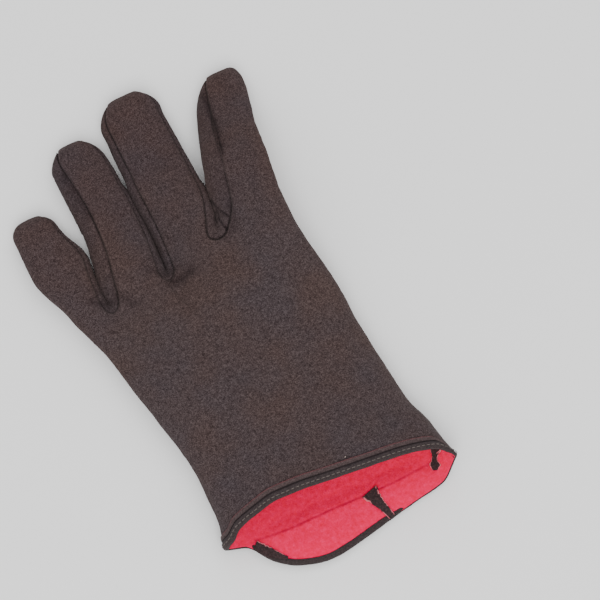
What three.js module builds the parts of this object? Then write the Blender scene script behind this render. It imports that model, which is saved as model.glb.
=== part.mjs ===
// A fleece-lined jersey work glove for the left hand, lying on its palm with the thumb under the palm.
// Millimetres. +Y runs from the cuff to the fingertips, +X towards the thumb side, +Z up, out of the back of the hand.
// The origin is in the middle of the palm, on the surface that the glove rests on.
import * as THREE from "three";

const { lerp, clamp, smoothstep } = THREE.MathUtils;

// Cloth
const SHELL = 1.1; // brown jersey
const LINING = 1.0; // red fleece
const BINDING = 0.6; // tape round the cuff's edge
const ALLOWANCE = 0.8; // spare cloth of a seam, on the lining
const LAYER_GAP = 0.6; // between two layers of cloth
const SEAM_GAP = 0.6; // between two sewn panels
const GUSSET_INSET = 0.5; // from the edges of the fourchettes and the thumb's back to their seams
const GUSSET_DEPTH = 0.15; // how far these lie below the panels beside them
const SLIT_GAP = 0.8; // between two fingers that touch
const FOLD_GAP = 1.0; // between the thumb and the palm that lies on it
const BINDING_WIDTH = 6.5; // outside the cuff
const BINDING_TURN = 3.2; // inside the cuff
const LINING_DEPTH = SHELL + LAYER_GAP;
const LINING_INSET = 0.3; // from the lining's edges to the seams there

// The hand
const HAND_WIDTH = 120.1; // across the knuckles
const KNUCKLE_Y = 56; // from the middle of the palm to the knuckles
const CUFF_Y = 85; // from the middle of the palm to the cuff's edge
const PALM_EXTENSION = 25; // how far the palm's edge lies beyond the back's, at the open mouth
const ARCH = 21; // how far the back of the hand stands above its side seams
const SIDE_HEIGHT = 8; // of the side seam on the little finger's side
const SIDE_ROLL = 11; // radius in plan of the rolled side under the palm
const THUMB_SIDE_ROLL = 13;
const RIDGE = 12.5; // height of the fold that crosses the palm's cloth inside the mouth
const RIM_HEIGHT = 1.6; // the palm's edge above the surface, for the tape under it
const CROTCH_BLEND = 26; // length over which the thumb takes its own shape beyond its crotch
const CROTCH_SPREAD = 18; // length over which the palm spreads over the thumb there

// Fingers, from the knuckles to the tip
const LITTLE_LENGTH = 68.5;
const RING_LENGTH = 94.5;
const MIDDLE_LENGTH = 102.5;
const INDEX_LENGTH = 84.3;
const FINGER_THICKNESS = 16; // as the ring finger lies
// Each one's share of HAND_WIDTH, its thickness as a share of FINGER_THICKNESS, the height of its middle at the knuckle
// and at the tip as shares of its thickness, and how far it leans up towards the thumb side at the knuckle.
const FINGERS = [
  { name: "little", share: 0.15, length: LITTLE_LENGTH, thick: 0.94, rootLift: 0.48, tipLift: 0.41, roll: 0.0 },
  { name: "ring", share: 0.262, length: RING_LENGTH, thick: 1.0, rootLift: 0.49, tipLift: 0.4, roll: 0.04 },
  { name: "middle", share: 0.264, length: MIDDLE_LENGTH, thick: 1.03, rootLift: 0.7, tipLift: 0.4, roll: 0.38 },
  { name: "index", share: 0.324, length: INDEX_LENGTH, thick: 1.0, rootLift: 1.4, tipLift: 0.4, roll: 0.22 },
];

// Each finger's sides along its length, as shares of its width from the middle of its root, and its seams' distance
// in from those sides, as shares of half its width there.
const FINGER_SHAPES = {
  little: [
    { along: 0.0, left: -0.5, right: 0.5, leftSeam: 0, rightSeam: 0.36 },
    { along: 0.2, left: -0.77, right: 0.44, leftSeam: 0, rightSeam: 0.22 },
    { along: 0.38, left: -0.99, right: 0.51, leftSeam: 0, rightSeam: 0.16 },
    { along: 0.53, left: -1.12, right: 0.55, leftSeam: 0, rightSeam: 0.12 },
    { along: 0.8, left: -1.23, right: 0.16, leftSeam: 0, rightSeam: 0.1 },
    { along: 1.0, left: -1.26, right: 0.02, leftSeam: 0, rightSeam: 0.1 },
  ],
  ring: [
    { along: 0.0, left: -0.5, right: 0.5, leftSeam: 0.26, rightSeam: 0.28 },
    { along: 0.12, left: -0.53, right: 0.52, leftSeam: 0.42, rightSeam: 0.2 },
    { along: 0.36, left: -0.46, right: 0.55, leftSeam: 0.5, rightSeam: 0.14 },
    { along: 0.7, left: -0.42, right: 0.55, leftSeam: 0.48, rightSeam: 0.12 },
    { along: 0.88, left: -0.42, right: 0.51, leftSeam: 0.34, rightSeam: 0.1 },
    { along: 1.0, left: -0.38, right: 0.46, leftSeam: 0.1, rightSeam: 0.1 },
  ],
  middle: [
    { along: 0.0, left: -0.5, right: 0.5, leftSeam: 0.26, rightSeam: 0.44 },
    { along: 0.1, left: -0.48, right: 0.61, leftSeam: 0.25, rightSeam: 0.34 },
    { along: 0.22, left: -0.45, right: 0.68, leftSeam: 0.24, rightSeam: 0.2 },
    { along: 0.34, left: -0.44, right: 0.73, leftSeam: 0.24, rightSeam: 0.14 },
    { along: 0.62, left: -0.44, right: 0.74, leftSeam: 0.22, rightSeam: 0.12 },
    { along: 0.86, left: -0.4, right: 0.73, leftSeam: 0.18, rightSeam: 0.1 },
    { along: 1.0, left: -0.34, right: 0.72, leftSeam: 0.1, rightSeam: 0.1 },
  ],
  index: [
    { along: 0.0, left: -0.5, right: 0.5, leftSeam: 0.42, rightSeam: 0 },
    { along: 0.1, left: -0.39, right: 0.54, leftSeam: 0.56, rightSeam: 0 },
    { along: 0.34, left: -0.3, right: 0.62, leftSeam: 0.64, rightSeam: 0 },
    { along: 0.58, left: -0.14, right: 0.71, leftSeam: 0.56, rightSeam: 0 },
    { along: 0.84, left: 0.07, right: 0.84, leftSeam: 0.44, rightSeam: 0 },
    { along: 1.0, left: 0.18, right: 0.97, leftSeam: 0.1, rightSeam: 0 },
  ],
};
const PALM_SEAM_INSET = 0.1; // the seams under a finger, in from its sides
const SHARPEST = 0.28; // sine of half the sharpest angle at which two panels are still mitred
const SIDE_ROUNDNESS = 2.3; // exponent of the rounded sections: 2 is an ellipse

// The knuckle line across the hand, as shares of its width, and each crotch's seam, rounded on the back and palm.
const KNUCKLES = [
  { along: 0.0, rise: -0.05 },
  { along: 0.28, rise: -0.02 },
  { along: 0.53, rise: 0.008 },
  { along: 0.68, rise: 0.058 },
  { along: 0.84, rise: 0.075 },
  { along: 1.0, rise: 0.035 },
];
const CROTCH_DEPTH = [3.6, 4.6, 5.6];
const PALM_SHIFT = 19; // the palm's crotch seams lie this far beyond the back's
const CROTCH_NOSE = 2.5; // how far the folded cloth in a crotch reaches forward

// The hand from the cuff to the knuckles: sides as shares of HAND_WIDTH, side seams as shares of SIDE_HEIGHT, and the
// back's arch above them as a share of ARCH.
const HAND = [
  { along: 0.0, left: -0.35, right: 0.695, leftSide: 0.8, rightSide: 1.7, arch: 1.06 },
  { along: 0.12, left: -0.32, right: 0.645, leftSide: 0.9, rightSide: 1.55, arch: 0.98 },
  { along: 0.26, left: -0.314, right: 0.616, leftSide: 1.0, rightSide: 1.45, arch: 0.88 },
  { along: 0.53, left: -0.347, right: 0.594, leftSide: 1.0, rightSide: 1.4, arch: 0.76 },
  { along: 0.69, left: -0.384, right: 0.578, leftSide: 1.0, rightSide: 1.7, arch: 0.68 },
  { along: 0.8, left: -0.404, right: 0.562, leftSide: 0.98, rightSide: 2.3, arch: 0.56 },
  { along: 0.9, left: -0.43, right: 0.542, leftSide: 0.94, rightSide: 2.68, arch: 0.44 },
  { along: 1.0, left: -0.456, right: 0.544, leftSide: 0.9, rightSide: 2.81, arch: 0.34 },
];
const CUFF_SKEW = 3.5; // the cuff's edge lies this much further out on the thumb side than in the middle

// The mouth across the hand: how far the back's edge is drawn in and the palm's edge reaches out, and how much of the
// palm's fold stands, as shares of PALM_EXTENSION and RIDGE.
const MOUTH = [
  { along: 0.0, backIn: 0.0, palmOut: 0.0, ridge: 0.3 },
  { along: 0.08, backIn: 0.1, palmOut: 0.16, ridge: 0.66 },
  { along: 0.18, backIn: 0.2, palmOut: 0.78, ridge: 0.9 },
  { along: 0.26, backIn: 0.22, palmOut: 1.03, ridge: 1.0 },
  { along: 0.36, backIn: 0.2, palmOut: 1.12, ridge: 1.0 },
  { along: 0.48, backIn: 0.14, palmOut: 1.06, ridge: 1.0 },
  { along: 0.62, backIn: 0.08, palmOut: 0.95, ridge: 1.0 },
  { along: 0.78, backIn: 0.02, palmOut: 0.8, ridge: 0.95 },
  { along: 0.92, backIn: -0.1, palmOut: 0.66, ridge: 0.6 },
  { along: 1.0, backIn: -0.36, palmOut: 0.36, ridge: 0.2 },
];

// The thumb, from the crotch in the palm to its tip: sides as shares of THUMB_WIDTH from the line that it lies along.
const THUMB_LENGTH = 80;
const THUMB_WIDTH = 38;
const THUMB_THICKNESS = 13.5;
const THUMB_X = 48.5;
const THUMB = [
  { along: 0.0, left: -0.87, right: 0.52 },
  { along: 0.25, left: -0.62, right: 0.47 },
  { along: 0.5, left: -0.45, right: 0.5 },
  { along: 0.75, left: -0.27, right: 0.54 },
  { along: 1.0, left: -0.1, right: 0.56 },
];
const FLATTENED = 1.14; // the thumb's roundness under it, cut off where it rests
const PALM_RAMP = 16; // width over which the palm climbs from the surface on to the thumb

// The long seam in the palm, from the cuff to the thumb's crotch, as shares of HAND_WIDTH.
const PALM_SEAM = [
  { along: 0.0, across: 0.36 },
  { along: 0.15, across: 0.31 },
  { along: 0.3, across: 0.262 },
  { along: 0.6, across: 0.165 },
  { along: 0.8, across: 0.135 },
  { along: 1.0, across: 0.129 },
];

// Counts of cells
const FINGER_CELLS = 4; // across a finger
const CROTCH_CELLS = 2; // round a crotch
const SIDE_CELLS = 3; // down a finger's side
const BLOCK = FINGER_CELLS + CROTCH_CELLS;
const COLUMNS = 4 * BLOCK - CROTCH_CELLS;
const SEAM_COLUMN = 2 * BLOCK + FINGER_CELLS / 2; // where the palm's long seam meets the knuckles
const LENGTH_ROWS = 5; // along a finger's straight part
const TIP_ROWS = 4; // round its tip
// Rows from the knuckles to the cuff's edge, as shares of the way, and the rows of the thumb's crotch, of the fold
// inside the mouth and of the seam under the ring and middle fingers.
const ROWS = [0, 0.08, 0.15, 0.21, 0.26, 0.3, 0.4, 0.52, 0.64, 0.74, 0.81, 0.86, 0.9, 0.93, 0.965, 1];
const CROTCH_ROW = 5;
const CREST_SHARE = 0.88;
const FRONT_ROW = 1;
const THUMB_ROWS = 5; // along the thumb's straight part

const JERSEY = { color: 0x4c403f, roughness: 0.95, metalness: 0 };
const FLEECE = { color: 0xe8304f, roughness: 1, metalness: 0 };
const TAPE = { color: 0x3c3433, roughness: 0.9, metalness: 0 };

const vector = (x, y, z) => new THREE.Vector3(x, y, z);
const mix = (a, b, share) => a.clone().lerp(b, share);

// One column of a table at a place along it, on a smooth curve through its rows that doesn't overshoot.
function read(table, column, along) {
  let i = 0;
  while (i < table.length - 2 && along > table[i + 1].along) i++;
  const slope = (k) => {
    if (k < 0 || k > table.length - 2) return null;
    return (table[k + 1][column] - table[k][column]) / (table[k + 1].along - table[k].along);
  };
  const tangent = (k) => {
    const [before, after] = [slope(k - 1), slope(k)];
    if (before === null || after === null) return before ?? after;
    return before * after <= 0 ? 0 : (2 * before * after) / (before + after);
  };
  const [a, b] = [table[i], table[i + 1]];
  const span = b.along - a.along;
  const t = clamp((along - a.along) / span, 0, 1);
  const rise = b[column] - a[column];
  const [m0, m1] = [tangent(i) * span, tangent(i + 1) * span];
  return a[column] + m0 * t + (3 * rise - 2 * m0 - m1) * t * t + (m0 + m1 - 2 * rise) * t * t * t;
}

// Where a rounded section stands at an angle: 0 is its right side, a quarter turn its top.
function rounded(angle) {
  const power = 2 / SIDE_ROUNDNESS;
  const bend = (value) => Math.sign(value) * Math.abs(value) ** power;
  return { across: bend(Math.cos(angle)), up: bend(Math.sin(angle)) };
}
const angleOfInset = (inset) => Math.acos(clamp(1 - inset, 0, 1) ** (SIDE_ROUNDNESS / 2));
// A rolled edge: 1 at the edge, where it is steep, and 0 from the roll's radius inwards.
const roll = (distance, radius) => 1 - Math.sqrt(1 - (1 - clamp(distance / radius, 0, 1)) ** 2);
const arch = (share) => (1 - Math.abs(2 * share - 1) ** SIDE_ROUNDNESS) ** (1 / SIDE_ROUNDNESS);
const spread = (share) => (1 - Math.cos(Math.PI * share)) / 2;

// The hand's outline and side seams at a share of the way from the cuff to the knuckles.
const sideX = (column, along) => read(HAND, column, along) * HAND_WIDTH;
const sideZ = (column, along) => read(HAND, column, along) * SIDE_HEIGHT;
const knuckleY = (across) => KNUCKLE_Y + read(KNUCKLES, "rise", across) * HAND_WIDTH;
const cuffY = (across) => -CUFF_Y + (0.5 - across) * 2 * CUFF_SKEW;

// Each finger's root, from its neighbours' widths.
FINGERS.reduce((left, finger) => {
  finger.width = finger.share * HAND_WIDTH;
  finger.thickness = finger.thick * FINGER_THICKNESS;
  finger.middle = left + finger.width / 2;
  finger.rootAcross = (finger.middle - sideX("left", 1)) / HAND_WIDTH;
  finger.rootY = knuckleY(finger.rootAcross);
  finger.tipY = finger.rootY + finger.length;
  return left + finger.width;
}, sideX("left", 1));

// A finger's side from its own table, at a height y.
function ownSide(finger, side, y) {
  const along = clamp((y - finger.rootY) / finger.length, 0, 1);
  return finger.middle + read(FINGER_SHAPES[finger.name], side, along) * finger.width;
}

// The same side, kept clear of the finger beside it.
function clearSide(index, side, y) {
  const x = ownSide(FINGERS[index], side, y);
  const step = side === "left" ? -1 : 1;
  const neighbour = FINGERS[index + step];
  if (!neighbour || y > neighbour.tipY) return x;
  const other = ownSide(neighbour, side === "left" ? "right" : "left", y);
  const line = (x + other) / 2 - (step * SLIT_GAP) / 2;
  return side === "left" ? Math.max(x, line) : Math.min(x, line);
}

// Where a row stands along a finger or the thumb, and how thick and wide it is there: the last rows close the tip.
function tipRow(row, straightRows, length, width, thickness) {
  const straight = 1 - (0.62 * thickness) / length;
  const angle = (Math.max(0, row - straightRows) / TIP_ROWS) * (Math.PI / 2);
  const along = row <= straightRows ? (straight * row) / straightRows : lerp(straight, 1, Math.sin(angle));
  const reach = (0.52 * width) / length;
  const into = clamp((along - 1 + reach) / reach, 0, 1);
  const closing = clamp(straightRows + TIP_ROWS - 1 - row, 0, 1);
  return { along, thick: Math.cos(angle), wide: Math.sqrt(1 - (0.9 * into) ** 2), closing };
}

// A point on a finger. side is "back", "front", "left" or "right"; across runs from 0 to 1 along that side's cells.
function fingerPoint(index, side, across, row) {
  const finger = FINGERS[index];
  const shape = FINGER_SHAPES[finger.name];
  const { along, thick, wide, closing } = tipRow(row, LENGTH_ROWS, finger.length, finger.width, finger.thickness);
  const seam = (name) => angleOfInset(read(shape, name, along) * closing);
  const under = (name) => angleOfInset(read(shape, name, 0) > 0 ? PALM_SEAM_INSET * closing : 0);
  const angles = {
    back: [Math.PI - seam("leftSeam"), seam("rightSeam")],
    front: [Math.PI + under("leftSeam"), 2 * Math.PI - under("rightSeam")],
    right: [seam("rightSeam"), -under("rightSeam")],
    left: [Math.PI - seam("leftSeam"), Math.PI + under("leftSeam")],
  }[side];
  const { across: sideways, up } = rounded(lerp(angles[0], angles[1], across));
  const knuckle = knuckleY(clamp(finger.rootAcross + (sideways * finger.width) / 2 / HAND_WIDTH, 0, 1));
  const root = knuckle + (PALM_SHIFT * (1 - up)) / 2;
  const y = lerp(root, finger.tipY, along);
  const [left, right] = [clearSide(index, "left", y), clearSide(index, "right", y)];
  const half = ((right - left) / 2) * wide;
  const x = (left + right) / 2 + half * sideways;
  const lift = finger.thickness * lerp(finger.rootLift, finger.tipLift, smoothstep(along, 0.25, 0.95));
  const lean = finger.roll * (1 - smoothstep(along, 0.0, 0.6)) * half * sideways;
  return vector(x, y, Math.max(0, lift + lean + (up * thick * finger.thickness) / 2));
}

// A point in the crotch between a finger and the next one. down is 0 at the back's seam and 1 at the palm's; turn
// runs round the crotch from the first finger to the next.
function crotchPoint(index, down, turn) {
  const from = fingerPoint(index, "right", down, 0);
  const to = fingerPoint(index + 1, "left", down, 0);
  const point = mix(from, to, turn);
  const depth = CROTCH_DEPTH[index] * (1 - 0.7 * down) - CROTCH_NOSE * Math.sin(Math.PI * down);
  point.y -= Math.max(SLIT_GAP, depth) * Math.sin(Math.PI * turn);
  return point;
}

// The knuckle row, one point for each column, on the back (down 0) or the palm (down 1).
function knucklePoint(column, down) {
  const index = Math.min(3, Math.floor(column / BLOCK));
  const cell = column - index * BLOCK;
  if (cell <= FINGER_CELLS) return fingerPoint(index, down ? "front" : "back", cell / FINGER_CELLS, 0);
  return crotchPoint(index, down, (cell - FINGER_CELLS) / CROTCH_CELLS);
}

// The back of the hand. share is 0 at the knuckles and 1 at the cuff's edge.
function backHeight(across, along) {
  const side = lerp(sideZ("leftSide", along), sideZ("rightSide", along), across);
  return side + ARCH * read(HAND, "arch", along) * arch(across);
}
function backPoint(column, row) {
  const share = ROWS[row];
  const start = knucklePoint(column, 0);
  const startAcross = clamp((start.x - sideX("left", 1)) / HAND_WIDTH, 0, 1);
  const endAcross = spread(column / COLUMNS);
  const across = lerp(startAcross, endAcross, smoothstep(share, 0, 1));
  const end = cuffY(endAcross) + read(MOUTH, "backIn", endAcross) * PALM_EXTENSION;
  const along = 1 - share;
  const fade = 1 - smoothstep(share, 0, 0.24);
  const drift = start.x - lerp(sideX("left", 1), sideX("right", 1), startAcross);
  const relief = start.z - backHeight(startAcross, 1);
  const x = lerp(sideX("left", along), sideX("right", along), across) + drift * fade;
  return vector(x, lerp(start.y, end, share), backHeight(across, along) + relief * fade);
}

// The palm's sheet. Below the thumb's crotch it lies on the surface, and beyond it it lies over the thumb.
const LEFT_COLUMNS = SEAM_COLUMN;
const RIGHT_COLUMNS = COLUMNS - SEAM_COLUMN;
const CROTCH_SHARE = ROWS[CROTCH_ROW];
const PALM_LENGTH = KNUCKLE_Y + PALM_SHIFT + CUFF_Y + PALM_EXTENSION;
const CROTCH_Y = KNUCKLE_Y + PALM_SHIFT - CROTCH_SHARE * PALM_LENGTH;
const thumbFree = (distance) => smoothstep(distance, 0, CROTCH_BLEND);
const thumbSide = (side, along) => THUMB_X + read(THUMB, side, along) * THUMB_WIDTH;

// Where a column crosses the hand below the thumb's crotch: the long seam runs down one of the columns.
function palmAcross(column, share) {
  const along = clamp((1 - share) / (1 - CROTCH_SHARE), 0, 1);
  const [left, right] = [sideX("left", 1 - share), sideX("right", 1 - share)];
  const seam = (read(PALM_SEAM, "across", along) * HAND_WIDTH - left) / (right - left);
  if (column <= SEAM_COLUMN) return seam * (column / LEFT_COLUMNS) ** 1.4;
  return 1 - (1 - seam) * ((COLUMNS - column) / RIGHT_COLUMNS) ** 1.4;
}

// The height of the fold that stands across the palm's sheet inside the mouth, and of the edge in front of it.
function foldHeight(across, share) {
  const behind = smoothstep(share, 0.66, CREST_SHARE);
  const front = 1 - smoothstep(share, CREST_SHARE, 0.95);
  const fold = RIDGE * read(MOUTH, "ridge", across) * (share < CREST_SHARE ? behind ** 1.5 : front);
  return Math.max(fold, RIM_HEIGHT * smoothstep(share, 0.7, 0.9));
}

// The height of the palm's sheet, lifted off the surface by the thumb by an amount from 0 to 1.
function palmHeight(x, y, across, share, lifted) {
  const along = 1 - share;
  const [left, right] = [sideX("left", along), sideX("right", along)];
  const beyond = Math.max(0, (CROTCH_SHARE - share) * PALM_LENGTH);
  const spreading = smoothstep(beyond, 0, CROTCH_SPREAD);
  const freeEdge = thumbSide("left", clamp(beyond / THUMB_LENGTH, 0, 1));
  const thumbEdge = lerp(read(PALM_SEAM, "across", 1) * HAND_WIDTH, freeEdge, thumbFree(beyond));
  const edge = thumbEdge - 2.5 * FOLD_GAP * smoothstep(beyond, 0, 0.4 * CROTCH_SPREAD);
  const into = clamp((x - edge) / (right - edge), 0, 1);
  const steep = Math.sqrt(1 - (1 - clamp((x - edge) / PALM_RAMP, 0, 1)) ** 2);
  const ramp = lerp(steep, smoothstep(x, edge - 0.6 * PALM_RAMP, edge + 0.4 * PALM_RAMP), spreading);
  const side = sideZ("rightSide", along);
  const top = lerp(0.55 * side, THUMB_THICKNESS + FOLD_GAP, spreading);
  const base = lifted ? top * ramp + (1 - spreading) * (side - top) * into ** 2 : foldHeight(across, share);
  const atLeft = Math.max(0, sideZ("leftSide", along) - base) * roll(x - left, SIDE_ROLL);
  const atRight = Math.max(0, sideZ("rightSide", along) - base) * roll(right - x, THUMB_SIDE_ROLL);
  return base + atLeft + atRight;
}
function palmPoint(column, row, lifted = row <= CROTCH_ROW) {
  const share = ROWS[row];
  const start = knucklePoint(column, 1);
  const startAcross = clamp((start.x - sideX("left", 1)) / HAND_WIDTH, 0, 1);
  const blend = clamp(share / CROTCH_SHARE, 0, 1);
  const across = lerp(startAcross, palmAcross(column, Math.max(share, CROTCH_SHARE)), blend);
  const end = cuffY(across) - read(MOUTH, "palmOut", across) * PALM_EXTENSION;
  const y = lerp(start.y, end, share);
  const fade = 1 - smoothstep(share, 0, 0.24);
  const startX = lerp(sideX("left", 1), sideX("right", 1), startAcross);
  const x = lerp(sideX("left", 1 - share), sideX("right", 1 - share), across);
  const relief = start.z - palmHeight(startX, start.y, startAcross, 0, true);
  const z = palmHeight(x, y, across, share, lifted) + relief * fade;
  return vector(x + (start.x - startX) * fade, y, Math.max(0, z));
}

// The thumb's lower sheet goes on from the palm, and its upper sheet starts at the crotch.
function thumbPoint(column, row, upper) {
  const { along, thick, wide } = tipRow(row, THUMB_ROWS, THUMB_LENGTH, THUMB_WIDTH, THUMB_THICKNESS);
  const start = palmPoint(column, CROTCH_ROW, upper);
  const share = (column - SEAM_COLUMN) / RIGHT_COLUMNS;
  const { across: sideways, up } = rounded(upper ? Math.PI * (1 - share) : Math.PI * (1 + share));
  const y = lerp(start.y, CROTCH_Y + THUMB_LENGTH, along);
  const [left, right] = [thumbSide("left", along), thumbSide("right", along)];
  const x = (left + right) / 2 + ((right - left) / 2) * wide * sideways;
  const z = THUMB_THICKNESS / 2 + (up * thick * THUMB_THICKNESS * (upper ? 1 : FLATTENED)) / 2;
  const blend = thumbFree(y - start.y);
  return vector(lerp(start.x, x, blend), y, lerp(start.z, Math.max(0, z), blend));
}

// Patches of skin, as rows of points, with the side that faces out.
const patch = (rows, columns, point, flip = false) => {
  return { grid: rows.map((row) => columns.map((column) => point(column, row))), flip };
};
const span = (from, to) => Array.from({ length: to - from + 1 }, (_, i) => from + i);
const LAST_ROW = ROWS.length - 1;
const FINGER_END = LENGTH_ROWS + TIP_ROWS;
const fingerPatch = (index, side) => {
  const point = (column, row) => fingerPoint(index, side, column / FINGER_CELLS, row);
  return patch(span(0, FINGER_END), span(0, FINGER_CELLS), point, side === "front");
};
const backPatch = patch(span(0, LAST_ROW), span(0, COLUMNS), backPoint, true);
const palmPatch = (rows, columns, lifted) => {
  return patch(rows, columns, (column, row) => palmPoint(column, row, lifted ?? row <= CROTCH_ROW));
};
const flatPalmPoint = (column, row) => palmPoint(column, row, false);
const thumbPatch = (upper) => {
  const point = (column, row) => thumbPoint(column, row, upper);
  const rows = [FOLD_GAP / (THUMB_LENGTH / THUMB_ROWS), ...span(1, THUMB_ROWS + TIP_ROWS)];
  return patch(upper ? rows : [0, ...rows], span(SEAM_COLUMN, COLUMNS), point, !upper);
};
const lowerRows = span(CROTCH_ROW, LAST_ROW);
const palmSide = [
  palmPatch(lowerRows, span(0, SEAM_COLUMN)),
  palmPatch(span(FRONT_ROW, CROTCH_ROW), span(0, COLUMNS)),
  palmPatch(span(0, FRONT_ROW), span(0, BLOCK)),
  palmPatch(span(0, FRONT_ROW), span(COLUMNS - BLOCK, COLUMNS)),
];
const frontBand = palmPatch(span(0, FRONT_ROW), span(BLOCK, COLUMNS - BLOCK));
const thumbHeel = palmPatch(lowerRows, span(SEAM_COLUMN, COLUMNS), false);

// The strip between two fingers: down one finger's side, round the crotch and up the next one's.
function fourchettePatches(index) {
  const down = span(0, SIDE_CELLS);
  const side = (finger, name) => (cell, row) => fingerPoint(finger, name, cell / SIDE_CELLS, row);
  return [
    patch(span(0, FINGER_END - 1), down, side(index, "right"), false),
    patch(span(0, CROTCH_CELLS), down, (cell, turn) => crotchPoint(index, cell / SIDE_CELLS, turn / CROTCH_CELLS), true),
    patch(span(0, FINGER_END - 1), down, side(index + 1, "left"), true),
  ];
}

// Patches joined where their points meet, with the normal at each point and the open edges.
const keyOf = (point) => [point.x, point.y, point.z].map((value) => Math.round(value * 500)).join();
function joined(patches) {
  const points = [];
  const faces = [];
  const known = new Map();
  const place = (point) => {
    const key = keyOf(point);
    if (!known.has(key)) known.set(key, points.push(point.clone()) - 1);
    return known.get(key);
  };
  const add = (...corners) => {
    if (new Set(corners).size === 3) faces.push(corners);
  };
  for (const { grid, flip } of patches) {
    const ids = grid.map((row) => row.map(place));
    for (let i = 0; i + 1 < ids.length; i++) {
      for (let j = 0; j + 1 < ids[i].length; j++) {
        let [a, b, c, d] = [ids[i][j], ids[i][j + 1], ids[i + 1][j + 1], ids[i + 1][j]];
        if (flip) [b, d] = [d, b];
        const corner = [0, ids.length - 2].includes(i) && [0, ids[i].length - 2].includes(j);
        const shorter = points[a].distanceTo(points[c]) <= points[b].distanceTo(points[d]);
        if (corner ? (i === 0) === (j === 0) : shorter) {
          add(a, b, c);
          add(a, c, d);
        } else {
          add(a, b, d);
          add(b, c, d);
        }
      }
    }
  }
  const normals = points.map(() => vector(0, 0, 0));
  const open = new Map();
  for (const face of faces) {
    const [a, b, c] = face.map((i) => points[i]);
    const normal = b.clone().sub(a).cross(c.clone().sub(a));
    face.forEach((i, k) => {
      normals[i].add(normal);
      const next = face[(k + 1) % 3];
      if (!open.delete(`${next}_${i}`)) open.set(`${i}_${next}`, { from: i, to: next, normal });
    });
  }
  normals.forEach((normal) => normal.normalize());
  return { points, faces, normals, open: [...open.values()] };
}

// The panels, and the normals where they meet: halfway between two panels, so that they meet in a mitre.
const backPanel = [backPatch, ...span(0, 3).map((index) => fingerPatch(index, "back"))];
const palmPanel = [...palmSide, fingerPatch(0, "front"), fingerPatch(3, "front")];
const middleFronts = [frontBand, fingerPatch(1, "front"), fingerPatch(2, "front")];
const fourchettes = span(0, 2).map(fourchettePatches);
function seamNormals(panels) {
  const meeting = new Map();
  for (const panel of panels) {
    const { points, normals } = joined(panel);
    points.forEach((point, i) => {
      const key = keyOf(point);
      meeting.set(key, [...(meeting.get(key) ?? []), normals[i]]);
    });
  }
  for (const [key, normals] of meeting) {
    const middle = normals.reduce((sum, normal) => sum.add(normal), vector(0, 0, 0)).normalize();
    const facing = normals.reduce((sum, normal) => sum + middle.dot(normal), 0) / normals.length;
    meeting.set(key, middle.divideScalar(Math.max(facing, SHARPEST)));
  }
  return meeting;
}
const heelBelowCrotch = palmPatch(lowerRows.slice(1), span(SEAM_COLUMN, COLUMNS));
const handNormals = seamNormals([backPanel, palmPanel, middleFronts, [heelBelowCrotch], ...fourchettes]);
const thumbNormals = seamNormals([[thumbPatch(false)], [thumbPatch(true)]]);
const thumbFrontNormals = new Map([...handNormals, ...thumbNormals]);

// A closed sheet between two depths under the skin, drawn in from its open edges.
function sheet(patches, from, to, skinNormals = handNormals, inset = SEAM_GAP / 2) {
  const { points, faces, normals, open } = joined(patches);
  const mitred = points.map((point, i) => {
    const shared = skinNormals.get(keyOf(point)) ?? normals[i];
    return shared.dot(normals[i]) > SHARPEST ? shared : normals[i];
  });
  const inward = new Map();
  for (const edge of open) {
    const side = edge.normal.clone().normalize().cross(points[edge.to].clone().sub(points[edge.from]).normalize());
    for (const i of [edge.from, edge.to]) inward.set(i, (inward.get(i) ?? vector(0, 0, 0)).add(side));
  }
  const moved = points.map((point, i) => {
    return inward.has(i) ? point.clone().addScaledVector(inward.get(i).normalize(), inset) : point;
  });
  const count = points.length;
  const triangles = faces.flatMap(([a, b, c]) => [a, b, c, a + count, c + count, b + count]);
  for (const { from: a, to: b } of open) triangles.push(b, a, a + count, b, a + count, b + count);
  const level = (depth) => moved.map((point, i) => point.clone().addScaledVector(mitred[i], -depth));
  return closedMesh([...level(from), ...level(to)], triangles);
}
function closedMesh(points, triangles) {
  const geometry = new THREE.BufferGeometry();
  const values = points.flatMap(({ x, y, z }) => [x, y, Math.max(0, z)]);
  geometry.setAttribute("position", new THREE.Float32BufferAttribute(values, 3));
  geometry.setIndex(triangles);
  geometry.computeVertexNormals();
  return geometry;
}

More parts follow.
